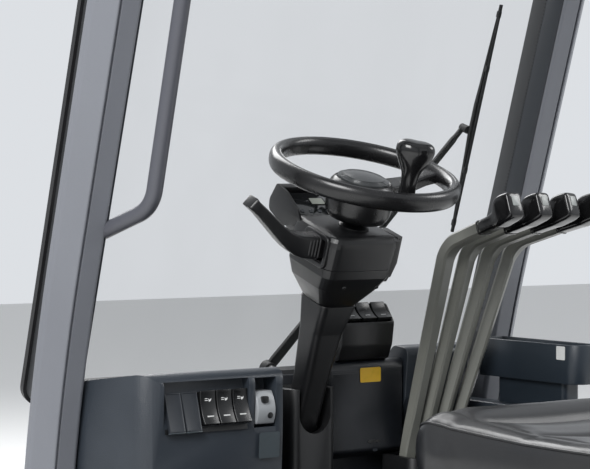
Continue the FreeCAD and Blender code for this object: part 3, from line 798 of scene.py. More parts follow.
def score(case, level, depth=0.0012, near=1e-5):
    """Presses a thin groove right round a case at one level: the line where two mouldings meet."""
    only(case)
    bpy.ops.object.mode_set(mode="EDIT")
    for height in (level - 0.0008, level, level + 0.0008):
        bpy.ops.mesh.select_all(action="SELECT")
        bpy.ops.mesh.bisect(plane_co=(0, 0, height), plane_no=(0, 0, 1))
    ring = [v.co for v in bmesh.from_edit_mesh(case.data).verts if abs(v.co.z - level) < near]
    heart = sum(ring, Vector()) / len(ring)
    pick(lambda v: abs(v.co.z - level) < near and (v.co - heart).length > 0.02, "verts")
    shrink = 1 - depth / max((co - heart).length for co in ring)
    reshape(Matrix.Diagonal((shrink, shrink, 1)), heart)
    bpy.ops.object.mode_set(mode="OBJECT")


# %% [markdown]
# The head of the column is broader on the left, where the direction lever has its socket. The
# case is grown with two like sides, and the left one is then moved out, more and more over the
# first 45 mm above its foot. The socket is a pocket cut into that side.

# %% Column head
LEVER_SIDE = 0.015
HEAD_FOOT, WIDENING = -0.232, 0.045
head = rounded_column(
    "head_case", (-232, 37, -12, 66),
    [(-192, 54, -40, 70), (-166, 61, -54, 74), (-112, 62, -58, 73), (-103, 61, -57, 72),
     (-97, 58, -54, 68.5), (-93.5, 53, -49, 63), (-92.2, 46, -42, 55)],
    0.020,
)
for v in head.data.vertices:
    if v.co.x < -0.010:
        v.co.x -= LEVER_SIDE * min(1.0, max(0.0, (v.co.z - HEAD_FOOT) / WIDENING))
hollow_for(head, mm(-96, -36, -143), mm(-50, 20, -99))
soften(head, 0.0022, 3, 12)
score(head, -0.151)
settle(head, black_plastic, "column", 28, COLUMN, ["column_head"])
tell(head)

# %% [markdown]
# Below the head, the neck runs down to the hinge and gets slimmer on the way. Above it, a short
# steel shaft in a round collar goes up into the wheel's hub.

# %% Neck and shaft
neck = rounded_column(
    "neck_case", (-500, 22, 12, 50),
    [(-476, 25, 11, 52), (-380, 26, 8, 55), (-290, 30, 2, 60), (-233, 36.5, -11, 65)],
    0.011,
)
soften(neck, 0.0022, 3, 5)
settle(neck, black_plastic, "column", 28, COLUMN, ["column_neck"])
shaft = begin("shaft", "cylinder", vertices=48, radius=0.0125, depth=0.028, location=mm(0, 0, -84))
pick(lambda f: abs(middle(f).z + 0.084) < 0.001)
bpy.ops.mesh.inset(thickness=0.004, depth=-0.001)
settle(shaft, steel, "column", 30, COLUMN, ())
outline = [(-95, 26), (-90, 26), (-88.5, 24.5), (-86, 20), (-84, 18), (-83.5, 13)]
shaft_collar = lathe("shaft_collar", 64, outline)
settle(shaft_collar, black_plastic, "column", 30, COLUMN, ())
tell(neck)

# %% [markdown]
# ### Direction lever
# The lever that picks forward or reverse swings in a socket at the left of the head. It is a
# thick paddle that goes straight out, bends sharply up and ends in a slanted tip. It is grown
# sideways from the end of a small block. Rubber ribs close its root, each a squared ring a little
# smaller than the last. Lever, ribs and socket stand as far out as the head's left side does.

# %% Direction lever
OUTWARD = Matrix.Translation((-LEVER_SIDE, 0, 0))
TIP_SLANT = 38


def paddle():
    lever = bar("direction_paddle", mm(-44, -25, -136), mm(-40, 9, -106))
    pick(lambda f: f.normal.x < -0.9)
    sections = [
        (-60, -8, -121, 16.8, 19), (-78, -8, -121, 16.8, 19), (-96, -7.5, -119.5, 16.8, 19),
        (-110, -6, -116, 16.8, 18), (-124, -4, -109, 16.5, 16.5), (-139, -1, -98, 16, 15.2),
        (-155, 3, -84, 15.5, 14), (-170, 7, -71, 15, 12.8), (-184, 10.5, -59.5, 14.5, 11.6),
        (-195, 13, -50.5, 13.5, 10.6),
    ]
    centre = mm(-44, -8, -121)
    last = (17, 15)
    for x, v, w, half_v, half_w in sections:
        target = mm(x, v, w)
        bpy.ops.mesh.extrude_region_move(TRANSFORM_OT_translate={"value": target - centre})
        reshape(Matrix.Diagonal((1, half_v / last[0], half_w / last[1])), target)
        centre, last = target, (half_v, half_w)
    reshape(Matrix.Rotation(math.radians(TIP_SLANT), 3, "Y"), centre)
    round_off("x", 0.0042, 4, 0.35, clamp_overlap=True)
    soften(lever, 0.0015, 3, 40)
    lever.data.transform(OUTWARD)
    return settle(
        lever, black_plastic, "direction_lever", 60, COLUMN, ["direction_lever"]
    )


def root_ribs():
    """Four soft ribs on the root, each a squared ring with a rounded back."""
    ribs = []
    for i in range(4):
        middle_of_rib = mm(-66 - i * 6.2, -8, -121 + i * 0.4)
        share = 1 - 0.02 * i
        half = mm(2.1, 18.6 * share, 20.8 * share)
        rib = bar("root_rib", middle_of_rib - half, middle_of_rib + half)
        round_off("x", 0.010, 6)
        soften(rib, 0.0016, 3, 40)
        ribs.append(rib)
    joined = join("root_ribs", ribs)
    joined.data.transform(OUTWARD)
    return settle(joined, pedal_rubber, "direction_lever", 45, COLUMN, ())


def socket_plate():
    """The raised escutcheon round the socket, with a slot for the lever to swing in."""
    plate = bar("socket_plate", mm(-80, -44, -153), mm(-74, 27, -96))
    round_off("x", 0.012, 5)
    pick(lambda f: abs(f.normal.x) > 0.99)
    bpy.ops.mesh.inset(thickness=0.009)
    bpy.ops.mesh.delete(type="FACE")
    pick(lambda e: e.is_boundary, "edges")
    bpy.ops.mesh.bridge_edge_loops()
    soften(plate, 0.0018, 3, 35)
    return settle(plate, black_plastic, "column", 35, COLUMN, ())


for piece in (paddle(), root_ribs(), socket_plate()):
    tell(piece)

# %% [markdown]
# ### Tilt lock and screws
# On the right of the head, a stepped knob block locks the column's tilt. Cross-head screws hold
# the shells together. The screw is made once: a domed head with a cross pressed into it. Copies
# go where they show.

# %% Screws
def screw_head(r=3.6):
    """A pan head with a cross slot, facing +Z at the origin. Its radius is in millimetres."""
    screw = lathe("screw", 20, [(0, r), (0.9, r), (1.7, r * 0.8), (1.9, r * 0.5)])
    for turn in (0, 90):
        tool = bar("slot_tool", mm(-r * 0.52, -0.4, 0.9), mm(r * 0.52, 0.4, 3))
        bpy.ops.object.mode_set(mode="OBJECT")
        tool.data.transform(Matrix.Rotation(math.radians(turn), 4, "Z"))
        modify(screw, "BOOLEAN", operation="DIFFERENCE", object=tool, solver="EXACT")
        bpy.data.objects.remove(tool)
    return screw


screws = [facing(mm(x, -50.5, -182), (0, -1, -0.5), COLUMN) for x in (-34, 34)]
scatter(screw_head(), "case_screws", screws, wiper_black, "column")


def lock_block():
    """A block that tapers downward, with a stepped grip on its outer face."""
    base = bar("lock_block", mm(50, -40, -152), mm(73, 32, -104))
    pick(lambda f: f.normal.z < -0.9)
    grow(mm(61.5, -4, -152), [(mm(55, -4, -178), 0.7, 0.92)], (1, 1))
    pick(lambda f: f.normal.x > 0.9)
    grow(
        mm(73, -4, -128),
        [(mm(75, -4, -128), 0.94, 0.94), (mm(75, -4, -126), 0.7, 0.7),
         (mm(87, -4, -125), 0.64, 0.64)],
        (1, 1),
    )
    soften(base, 0.004, 4, 30)
    return settle(base, black_plastic, "column", 35, COLUMN, ["tilt_lock"])


tell(lock_block())

# %% [markdown]
# ## Hydraulic levers
# Four flat steel bars rise from their shaft, fan out, and bend sharply back under the driver's
# hand. A bar is a line of four points with its corners rounded, and a chamfered outline is swept
# along it. A curve does the sweeping, because it can make the bar broader on its way, and it
# becomes a mesh at once. Bars, grips and plates share one list of points, so they can't drift
# apart.

# %% Lines of the levers
FOOT_X, FOOT_PITCH = 212, 34
TOP_X, TOP_PITCH = 240, 61.5
FAN = 0.6  # how much of the way from foot to top a bar has gone sideways at its elbow


def lever_points(i):
    foot_x, top_x = FOOT_X + FOOT_PITCH * i, TOP_X + TOP_PITCH * i
    return [
        mm(foot_x, 566, 330), mm(foot_x, 544, 440),
        mm(foot_x + 6 + FAN * (top_x - foot_x), 466, 779), mm(top_x, 352, 818),
    ]


def swell(place):
    """The bars are broader from halfway up, and a little less again in the grip."""
    up = min(1.0, max(0.0, (place.z - 0.42) / 0.26))
    past = min(1.0, max(0.0, (0.470 - place.y) / 0.08))
    return 1 + 0.15 * up * up * (3 - 2 * up) - 0.02 * past


def swept(name, points, bend, radius=None, outline=None):
    """Sweeps a circle, or the bars' outline, along a line whose corners are rounded."""
    line = begin(name, "circle", vertices=3, radius=0.001)
    bpy.ops.mesh.delete(type="VERT")
    bpy.ops.object.mode_set(mode="OBJECT")
    line.data.from_pydata(points, [(i, i + 1) for i in range(len(points) - 1)], [])
    bpy.ops.object.mode_set(mode="EDIT")
    pick(lambda v: len(v.link_edges) == 2, "verts")
    bpy.ops.mesh.bevel(offset=bend, segments=9, affect="VERTICES")
    bpy.ops.object.mode_set(mode="OBJECT")
    bpy.ops.object.convert(target="CURVE")
    path = bpy.context.object
    if outline:
        for point in path.data.splines[0].points:
            point.radius = swell(point.co)
        shape = bpy.data.curves.new("outline", "CURVE")
        shape.dimensions = "2D"
        run = shape.splines.new("POLY")
        run.points.add(len(outline) - 1)
        for point, (a, b) in zip(run.points, outline):
            point.co = (a / 1000, b / 1000, 0, 1)
        run.use_cyclic_u = True
        holder = bpy.data.objects.new("outline", shape)
        bpy.context.scene.collection.objects.link(holder)
        path.data.bevel_mode = "OBJECT"
        path.data.bevel_object = holder
    else:
        path.data.bevel_depth, path.data.bevel_resolution = radius, 6
    path.data.use_fill_caps = True
    path.data.twist_mode = "Z_UP"
    bpy.ops.object.convert(target="MESH")
    if outline:
        bpy.data.objects.remove(holder)
    return bpy.context.object


print("lever feet:", [round(lever_points(i)[0].x, 3) for i in range(4)])

# %% [markdown]
# Each bar gets the eye that it turns on, and rides on its own lever. The four are alike but for
# their lines, so one loop makes them all.

# %% Bars
FLAT_BAR = [(-13, -7), (-10, -10), (10, -10), (13, -7), (13, 7), (10, 10), (-10, 10), (-13, 7)]
for i in range(4):
    steel_bar = swept("bar", lever_points(i), 0.030, outline=FLAT_BAR)
    eye = collar("eye", "x", lever_points(i)[0], 0.016, 0.024, 0.004, -0.0008)
    whole = join(f"lever_steel_{i + 1}", [steel_bar, eye])
    settle(whole, lever_grey, f"lever_{i + 1}", 25, None, [f"lever_bar_{i + 1}"])
    tell(whole)

# %% [markdown]
# A grip is a tapered sleeve that swells into a tall head with a flat end, and a small pale plate
# is let into that end. The head stands to one side of the sleeve, so plain scaling is not
# enough: each step of `grow` also moves off the axis.

# %% Grips
def grip_place(i):
    """The grip's own axes: Z along the lever, Y upward."""
    bend, end = lever_points(i)[2:]
    along = (end - bend).normalized()
    flat = (Vector((1, 0, 0)) - along * along.x).normalized()
    rise = along.cross(flat)
    return Matrix.Translation(end) @ Matrix((flat, rise, along)).transposed().to_4x4()


def grip():
    """The sleeve and its head. A row of the table is (up, aside, half width, half height)."""
    piece = bar("grip", mm(-15.2, -12.4, -25), mm(15.2, 12.4, -20))
    pick(lambda f: f.normal.z > 0.9)
    table = [
        (-8, 0, 15.4, 12.8), (8, 0, 15.6, 13.2), (17, 0.5, 16, 14), (22, 5, 16.8, 19),
        (27, 10, 17.6, 23.5), (36, 12, 18, 24.6), (50, 12.2, 17.8, 24.2), (60, 13, 17, 22.4),
        (64.5, 13.5, 15.4, 20.4),
    ]
    grow(mm(0, 0, -20), [(mm(0, v, w), a, b) for w, v, a, b in table], (15.2, 12.4))
    round_off("z", 0.0062, 3, 0.3, clamp_overlap=True)
    modify(piece, "SUBSURF", levels=2, render_levels=2)
    return piece


def grip_plate():
    """The pale plate in the end of the head."""
    plate = bar("grip_plate", mm(-7.2, 10.0, 62.6), mm(7.2, 27.5, 65.2))
    round_off("z", 0.002, 4)
    soften(plate, 0.0004, 2)
    return plate


def sleeve_ring():
    """The lip at the open end of the sleeve, where the bar goes in."""
    ring = bar("sleeve_ring", mm(-16, -13, -26.5), mm(16, 13, -22.5))
    round_off("z", 0.006, 4)
    soften(ring, 0.0008, 2)
    return ring


first_grip, first_plate, first_ring = grip(), grip_plate(), sleeve_ring()
for i in range(4):
    place, lever = grip_place(i), f"lever_{i + 1}"
    sleeve, lip = copy_of(first_grip, "grip", place), copy_of(first_ring, "ring", place)
    black = join(f"grip_{i + 1}", [sleeve, lip])
    settle(black, gloss_black, lever, 50, None, [f"lever_knob_{i + 1}"])
    pale = copy_of(first_plate, f"grip_plate_{i + 1}", place)
    settle(pale, pale_label, lever, 30, None, ())
for model in (first_grip, first_plate, first_ring):
    bpy.data.objects.remove(model)
tell(black)

# %% [markdown]
# ## Switches
# The rocker keys have a dished face, so that a finger finds the ends. A flat box is cut across
# into strips, and each strip's corners sink by how near they are to the middle. Three keys stand
# on the sloping bed at the left, and three smaller ones on the pod behind the column.

# %% Rocker key
BED_LEAN = math.atan2(25, 84)


def on_bed(x, up):
    """A place on the sloping bed of the left pod: Y runs up the bed, Z stands off it."""
    centre = mm(x, 472 + up * math.sin(BED_LEAN), 482 + up * math.cos(BED_LEAN))
    return Matrix.Translation(centre) @ Matrix.Rotation(math.pi / 2 - BED_LEAN, 4, "X")


def dish(y, half, top, deep):
    """Height of a dished face, in millimetres from end to end."""
    return top - deep * (1 - (y / half) ** 2)


def rocker_key(wide, long, top, deep, strips=12):
    half = long / 2
    key = bar("key", mm(-wide / 2, -half, 0), mm(wide / 2, half, top))
    for i in range(1, strips):
        bpy.ops.mesh.select_all(action="SELECT")
        bpy.ops.mesh.bisect(plane_co=mm(0, -half + long * i / strips, 0), plane_no=(0, 1, 0))
    form = bmesh.from_edit_mesh(key.data)
    for v in form.verts:
        if v.co.z > 0.001:
            v.co.z = dish(v.co.y * 1000, half, top, deep) / 1000
    bmesh.update_edit_mesh(key.data)
    soften(key, 0.0013, 3, 40)
    return key


KEY_LONG, KEY_TOP, KEY_DISH = 56, 14.5, 5
key_model = rocker_key(29, KEY_LONG, KEY_TOP, KEY_DISH)
tell(key_model)

# %% [markdown]
# A key carries two marks: a bar that lights up near its foot, and a plain lamp sign near its top.
# They are thin raised shapes, made of geometry, so that they stay sharp close up. Keys and marks
# are modelled once, and copies go to their places.

# %% Marks, and all the keys
def key_height(y):
    return dish(y, KEY_LONG / 2, KEY_TOP, KEY_DISH)


def lamp_sign():
    """A half-round lamp with three short rays, and the bar below."""
    height, low = key_height(14), key_height(-14.5)
    lamp = begin(
        "sign", "cylinder", vertices=28, radius=0.0052, depth=0.0006, location=mm(0.8, 15, height)
    )
    bpy.ops.mesh.select_all(action="SELECT")
    bpy.ops.mesh.bisect(
        plane_co=mm(0.8, 15, 0), plane_no=(1, 0, 0), clear_inner=True, use_fill=True
    )
    pick(lambda f: f.normal.z > 0.9)
    bpy.ops.mesh.inset(thickness=0.0015, depth=-0.0004)
    parts = [lamp]
    for y in (12, 15, 18):
        parts.append(bar("ray", mm(-6.2, y - 0.6, height - 0.2), mm(-0.8, y + 0.6, height + 0.3)))
    parts.append(bar("light_bar", mm(-6.2, -15.4, low - 0.5), mm(6.2, -13.4, low + 0.5)))
    return join("key_marks", parts)


POD = move(0, 577, 655) @ Matrix.Rotation(math.pi / 4, 4, "X")
sign_model = lamp_sign()
small_key = rocker_key(31, 38, KEY_TOP, 4)
small_mark = bar("pod_mark", mm(-5, -11, 11.0), mm(5, -9.4, 12.3))
bed_places = [on_bed(x, 38) for x in (-260.0, -228.5, -197.0)]
pod_places = [POD @ move(97.5 + 34.5 * i, 0, -4) for i in range(3)]
bpy.ops.object.mode_set(mode="OBJECT")
keys = [copy_of(key_model, "key", place) for place in bed_places]
keys += [copy_of(small_key, "key", place) for place in pod_places]
signs = [copy_of(sign_model, "sign", place) for place in bed_places]
signs += [copy_of(small_mark, "sign", place) for place in pod_places]
for model in (key_model, sign_model, small_key, small_mark):
    bpy.data.objects.remove(model)
all_keys = join("rocker_keys", keys)
settle(all_keys, rocker_plastic, "cab", 40, None, ["rocker_switches"])
settle(join("key_signs", signs), white_label, "cab", 30, None, ())
tell(all_keys)

# %% [markdown]
# Two places have no switch, and a blank cover fills each. Its face is let in by a fine step, and
# a lip below it catches the light: its paler grey is a painted highlight. Cover and lip are two
# finishes, so they are two pieces.

# %% Blank covers
blank_places = [on_bed(x, 34) for x in (-323.0, -291.5)]
cover = bar("cover", mm(-14.8, -32, 0), mm(14.8, 32, 7))
pick(lambda f: f.normal.z > 0.9)
bpy.ops.mesh.inset(thickness=0.0014, depth=0.0)
bpy.ops.mesh.inset(thickness=0.0005, depth=-0.0007)
soften(cover, 0.0008, 2, 40)
covers = join("blank_covers", [copy_of(cover, "cover", place) for place in blank_places])
settle(covers, key_plastic, "cab", 35, None, ["switch_blanks"])
# The lip's paler grey is a painted highlight along its edge.
highlight_lip = bar("lip", mm(-15.2, -34.0, 0.4), mm(15.2, -32.1, 6.4))
soften(highlight_lip, 0.0006, 2)
highlight_lips = join("lip_highlights", [copy_of(highlight_lip, "lip", place) for place in blank_places])
settle(highlight_lips, grey_label, "cab", 30, None, ())
for model in (cover, highlight_lip):
    bpy.data.objects.remove(model)
tell(covers)

# %% [markdown]
# The parking brake switch is silver, and its face bulges toward the driver. The block is cut into
# thin layers, and the front corner of each layer is put on a curve that is steeper at the top.

# %% Parking switch
def parking_key(foot=487.5, tall=54.5, layers=14):
    key = bar("parking_key", mm(-167.6, 468, foot), mm(-131.4, 512, foot + tall))
    for i in range(1, layers):
        bpy.ops.mesh.select_all(action="SELECT")
        bpy.ops.mesh.bisect(plane_co=mm(0, 0, foot + tall * i / layers), plane_no=(0, 0, 1))
    form = bmesh.from_edit_mesh(key.data)
    for v in form.verts:
        if v.co.y < 0.48:
            t = (v.co.z * 1000 - 513) / 27.5
            v.co.y = (468.2 + 7.5 * t * t + 3.5 * max(0.0, t)) / 1000
    bmesh.update_edit_mesh(key.data)
    soften(key, 0.0022, 4, 40)
    return settle(key, silver_plastic, "cab", 40, None, ["parking_switch"])


tell(parking_key())
mark = bar("parking_mark", mm(-159, 466.5, 523), mm(-147, 474, 534))
round_off("y", 0.0025, 4)
spot = begin(
    "parking_spot", "cylinder", vertices=32, radius=0.0052, depth=0.006,
    location=mm(-142.5, 471.3, 502), rotation=(math.pi / 2, 0, 0),
)
parking_marks = join("parking_marks", [mark, spot])
soften(parking_marks, 0.0006, 2)
settle(parking_marks, black_plastic, "cab", 35, None, ())

# %% [markdown]
# ## Seat
# The cushion is foam under vinyl, pulled down into sewn channels. Modelled straight, it looks
# like a brick. So a plain form is first turned into an even mesh by a voxel remesh, and blown up
# a little as cloth, which rounds its walls as foam does. How far a point may move is capped.

# %% Foam and cloth
def foam_block(name, low, high, corner, edge):
    """A block with round corners, as an even mesh that cloth can stretch."""
    block = bar(name, Vector(low), Vector(high))
    round_off("z", corner, 8)
    soften(block, edge, 5, 40)
    modify(block, "REMESH", mode="VOXEL", voxel_size=0.006, use_smooth_shade=True)
    return block


def puff(piece, cap, frames=20):
    """Blows the piece up as cloth under light pressure. No point moves further than the cap."""
    rest = [v.co.copy() for v in piece.data.vertices]
    cloth = piece.modifiers.new("cloth", "CLOTH")
    cloth.settings.use_pressure = True
    cloth.settings.uniform_pressure_force = 4.0
    cloth.settings.effector_weights.gravity = 0.0
    cloth.settings.quality = 4
    cloth.point_cache.frame_start, cloth.point_cache.frame_end = 1, frames
    for number in range(1, frames + 1):
        bpy.context.scene.frame_set(number)
    blown = piece.evaluated_get(bpy.context.evaluated_depsgraph_get())
    moved = [v.co.copy() for v in blown.data.vertices]
    piece.modifiers.remove(cloth)
    furthest = 0.0
    for v, old, new in zip(piece.data.vertices, rest, moved):
        step = new - old
        furthest = max(furthest, step.length)
        v.co = old + step * min(1.0, cap / max(step.length, 1e-9))
    bpy.context.scene.frame_set(1)
    print(piece.name, "swelled up to", round(furthest * 1000, 1), "mm before the cap")


def valley(distance, width):
    """1 on the line of a seam, falling to 0 at either side."""
    return math.exp(-((distance / width) ** 2))


def ease(value, low, high):
    """Rises from 0 at low to 1 at high, and starts and ends gently."""
    t = min(1.0, max(0.0, (value - low) / (high - low)))
    return t * t * (3 - 2 * t)


# %% [markdown]
# The dip under the driver, the sewn channels and the seam lines at the sides are pressed in after
# the remesh, which would have lost them. Each is a formula of where a point lies: `valley` is the
# section of a seam, and `ease` fades it out toward the edge. Between two channels the foam rises
# again, because it is squeezed there.

# %% Seat cushion
SEAT_CHANNELS = (-0.095, -0.215, -0.335, -0.445)
SEAT_BASE = 0.4465  # height of the flat underside
FOAM_LOW, FOAM_TALL = 0.4485, 0.1035  # the swollen block, before its top is shaped
SEAT_HALF = 0.2405  # as far out as the vinyl may go


def seat_top(x, y):
    """Height of the finished top: raised sides, a dip that is deepest behind the middle."""
    along = 0.5585 - 0.013 * max(0.0, 1 - ((y + 0.31) / 0.25) ** 2)
    across = 0.018 * max(0.0, 1 - (abs(x) / 0.218) ** 2.4)
    nose = 0.034 * max(0.0, min(1.0, (y + 0.070) / 0.082)) ** 2.2
    return along - across * ease(y, -0.020, -0.11) - nose


def seat_cushion():
    """The pad: swollen, then shaped on top, channelled, and drawn in at its foot."""
    pad = foam_block("seat_pad", (-0.234, -0.499, 0.449), (0.234, 0.014, 0.548), 0.062, 0.017)
    puff(pad, 0.007)
    facing_up = [max(0.0, v.normal.z) ** 2 for v in pad.data.vertices]
    for v, up in zip(pad.data.vertices, facing_up):
        x, y, z = v.co
        z = SEAT_BASE + max(0.0, z - FOAM_LOW) * (seat_top(x, y) - SEAT_BASE) / FOAM_TALL
        inside = ease(abs(x), 0.186, 0.140) * ease(y, 0.0, -0.04)
        for channel in SEAT_CHANNELS:
            z -= 0.0130 * up * inside * valley(y - channel, 0.0095)
            z += 0.0045 * up * inside * valley(y - channel - 0.058, 0.034)
        side = ease(y, -0.030, -0.075) * ease(y, -0.495, -0.465)
        z -= 0.0035 * up * side * valley(abs(x) - 0.180, 0.005)
        bulge = valley(z - 0.502, 0.030) - 1.2 * ease(z, 0.480, 0.449)
        v.co.z = z
        v.co.x = max(-SEAT_HALF, min(SEAT_HALF, x * (1 + 0.018 * bulge)))
        v.co.y = y + 0.0045 * bulge * ease(y, -0.060, 0.005)
    modify(pad, "SUBSURF", levels=1, render_levels=1)
    settle(pad, seat_vinyl, "seat", 180, None, ["seat_cushion"])
    return pad


seat_pad = seat_cushion()
tell(seat_pad)

# %% [markdown]
# A welt runs round the top edge. A near-black cord lies along the bottom of each channel. It is
# painted shade, the dark line where the channel's walls shade its floor, drawn as thread. Both are
# thin cords. Their points come from a plain path on the floor plan, dropped on the finished pad
# from above by a ray, so that they follow every rise of the foam.

# %% Welt, and channel lines of painted shade
def piping(name, spots, radius=0.0021, closed=True):
    """A welt: a thin cord sewn round an edge. Left open, it is a dark line laid along a channel."""
    line = bpy.data.curves.new(name, "CURVE")
    line.dimensions = "3D"
    line.bevel_depth, line.bevel_resolution = radius, 3
    spline = line.splines.new("POLY")
    spline.points.add(len(spots) - 1)
    for point, spot in zip(spline.points, spots):
        point.co = (*spot, 1)
    spline.use_cyclic_u = closed
    line.use_fill_caps = not closed
    cord = bpy.data.objects.new(name, line)
    bpy.context.scene.collection.objects.link(cord)
    only(cord)
    bpy.ops.object.convert(target="MESH")
    return bpy.context.object


def rounded_path(half_x, low_y, high_y, radius, turn_points=20, side_points=24):
    """Points round a rectangle with round corners: a corner, the side after it, and so on."""
    left, right = -half_x + radius, half_x - radius
    rear, front = low_y + radius, high_y - radius
    path = []
    for cx, cy, start, side_end in (
        (right, front, 0, (left, high_y)), (left, front, 90, (-half_x, rear)),
        (left, rear, 180, (right, low_y)), (right, rear, 270, (half_x, front)),
    ):
        for i in range(turn_points + 1):
            a = math.radians(start + 90 * i / turn_points)
            path.append((cx + radius * math.cos(a), cy + radius * math.sin(a)))
        (x0, y0), (x1, y1) = path[-1], side_end
        for i in range(1, side_points):
            share = i / side_points
            path.append((x0 + (x1 - x0) * share, y0 + (y1 - y0) * share))
    return path


def on_top(pad, path, lift=0.0006):
    """The points of a path dropped on a pad from above."""
    spots = []
    for x, y in path:
        hit, place, normal, _ = pad.ray_cast((x, y, 1.0), (0, 0, -1))
        if hit:
            spots.append(place + normal * lift)
    return spots


def shade_lines(name, pad, channels, half):
    """Near-black cords along the bottom of each sewn channel: painted shade on the channel's floor.
    """
    lines = []
    for channel in channels:
        path = [(half * (i / 20 - 1), channel) for i in range(41)]
        lines.append(piping(name, on_top(pad, path, 0.0001), 0.0015, closed=False))
    return join(name, lines)


welt = piping("seat_welt", on_top(seat_pad, rounded_path(0.2245, -0.489, 0.005, 0.054)))
settle(welt, seat_vinyl, "seat", 180, None, ())
# The cords' near-black colour is painted shade: the dark line of a shaded channel floor.
shade_thread = moulded("shade_thread", (0.004, 0.004, 0.0045), 0.6, 0.02, 0.05)
shade_threads = shade_lines("seat_shade_lines", seat_pad, SEAT_CHANNELS, 0.165)
settle(shade_threads, shade_thread, "seat", 60, None, ())
tell(welt)
tell(shade_threads)

# %% [markdown]
# The backrest is made the same way, lying flat, and then stood up on its shell, where it leans
# back 8 degrees. It is thick at the waist, thin above it, and has the same cross channels.

# %% Backrest
BACK_CHANNELS = (0.09, 0.17, 0.25, 0.33)
BACK = Matrix.Translation((0, -0.5335, 0.560)) @ Matrix(
    ((-1, 0, 0, 0), (0, -0.1408, 0.99, 0), (0, 0.99, 0.1408, 0), (0, 0, 0, 1))
)


def back_depth(y):
    """Thickness of the pad: most at the waist, and a little more again at the top."""
    return 0.060 + 0.022 * valley(y - 0.03, 0.085) + 0.004 * valley(y - 0.38, 0.08)


def back_cushion():
    pad = foam_block("back_pad", (-0.208, 0.014, 0.001), (0.208, 0.412, 0.056), 0.055, 0.022)
    puff(pad, 0.007)
    facing_up = [max(0.0, v.normal.z) ** 2 for v in pad.data.vertices]
    for v, share in zip(pad.data.vertices, facing_up):
        x, y, z = v.co
        z = max(0.0, z) * back_depth(y) / 0.058 - 0.009 * share * max(0.0, 1 - (x / 0.15) ** 2)
        inside = ease(abs(x), 0.165, 0.130)
        for channel in BACK_CHANNELS:
            z -= 0.0060 * share * inside * valley(y - channel, 0.0075)
            z += 0.0022 * share * inside * valley(y - channel - 0.04, 0.028)
        z -= 0.0050 * share * valley(abs(x) - 0.152, 0.0055)
        v.co.z = max(z, 0.0006)
    modify(pad, "SUBSURF", levels=1, render_levels=1)
    return pad


back_pad = back_cushion()
back_path = rounded_path(0.1965, 0.027, 0.400, 0.048)
back_welt = piping("back_welt", on_top(back_pad, back_path))
# The backrest's channel cords are painted shade too.
back_shade_threads = shade_lines("back_shade_lines", back_pad, BACK_CHANNELS, 0.145)
settle(back_shade_threads, shade_thread, "seat_back", 60, BACK, ())
settle(back_welt, seat_vinyl, "seat_back", 180, BACK, ())
settle(back_pad, seat_vinyl, "seat_back", 180, BACK, ["seat_back_cushion"])
tell(back_pad)

# %% [markdown]
# Under the pan, a rubber bellows hides the spring linkage. Its folds are grown one by one: out,
# level, in, level. The upright corners are then rounded, and every fold turns the corner with
# them.

# %% Bellows
FOLDS = 5


def bellows():
    skirt = bar("bellows", mm(-196, -500, 320), mm(196, -56, 334))
    pick(lambda f: f.normal.z > 0.9)
    steps = [(mm(0, -278, 336), 196, 222), (mm(0, -272, 337), 180, 192)]
    for i in range(FOLDS):
        z = 337 + i * 18.4
        steps += [(mm(0, -270, z + 4), 187, 199), (mm(0, -270, z + 10), 188, 200),
                  (mm(0, -270, z + 14), 178, 190), (mm(0, -270, z + 18), 176, 188)]
    grow(mm(0, -278, 334), steps, (196, 222))
    round_off("z", 0.026, 6, 0.25, clamp_overlap=True)
    soften(skirt, 0.0016, 3, 25)
    return settle(skirt, bellows_rubber, "seat", 45, None, ["seat_suspension"])


tell(bellows())

# %% [markdown]
# ## Mouldings and pressed sheet
# No real moulding has a knife edge: the tool leaves a small radius, and that radius is what
# catches the light. The solid of a dashboard pod has the right shape but sharp corners. A copy of
# its mesh is merged, its flat faces are made whole again, and a bevel breaks every edge that is
# sharper than a limit. Steel gets a smaller radius than plastic.


def eased(node, width):
    """A copy of one solid, with broken edges, that stands in its place."""
    solid = nodes[node]
    piece = solid.copy()
    piece.data = solid.data.copy()
    piece.name = node + "_skin"
    piece.parent = None
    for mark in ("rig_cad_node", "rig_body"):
        if mark in piece:
            del piece[mark]
    bpy.context.scene.collection.objects.link(piece)
    only(piece)
    bpy.ops.object.mode_set(mode="EDIT")
    bpy.ops.mesh.select_all(action="SELECT")
    bpy.ops.mesh.remove_doubles(threshold=0.00001)
    bpy.ops.mesh.dissolve_limited(angle_limit=math.radians(0.8))
    bpy.ops.object.mode_set(mode="OBJECT")
    soften(piece, width, 2, 36)
    return settle(piece, solid.data.materials[0], solid["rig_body"], 38, None, [node])


EDGES = (
    ("dash_left", 0.0022), ("dash_right", 0.0022), ("dash_centre", 0.0015), ("cowl_cover", 0.0020),
    ("switch_pod", 0.0014), ("side_tray", 0.0012), ("side_cover", 0.0025),
    ("lever_console", 0.0016), ("column_base", 0.0016), ("seat_back_shell", 0.0020),
    ("seat_deck", 0.0012), ("side_sills", 0.0020), ("cross_members", 0.0012),
    ("bulkhead", 0.0010), ("seat_pan", 0.0010),
    ("recliner_brackets", 0.0012), ("seat_rails", 0.0008), ("display_hood", 0.0012),
    ("rear_legs", 0.0015), ("roof_side_rails", 0.0015), ("roof_cross_rails", 0.0015),
    ("windscreen_frame", 0.0020), ("pedal_hinges", 0.0006),
)
faces = [len(eased(node, width).data.polygons) for node, width in EDGES]
print("eased skins:", len(faces), "with", sum(faces), "faces")

# %% [markdown]
# ## Stickers
# Blank stickers mark where a real cab carries its notices. A sticker is a thin plate with round
# corners, laid on the face behind it and following its slope. It stands a fifth of a millimetre
# off, so that the two faces never flicker into each other.

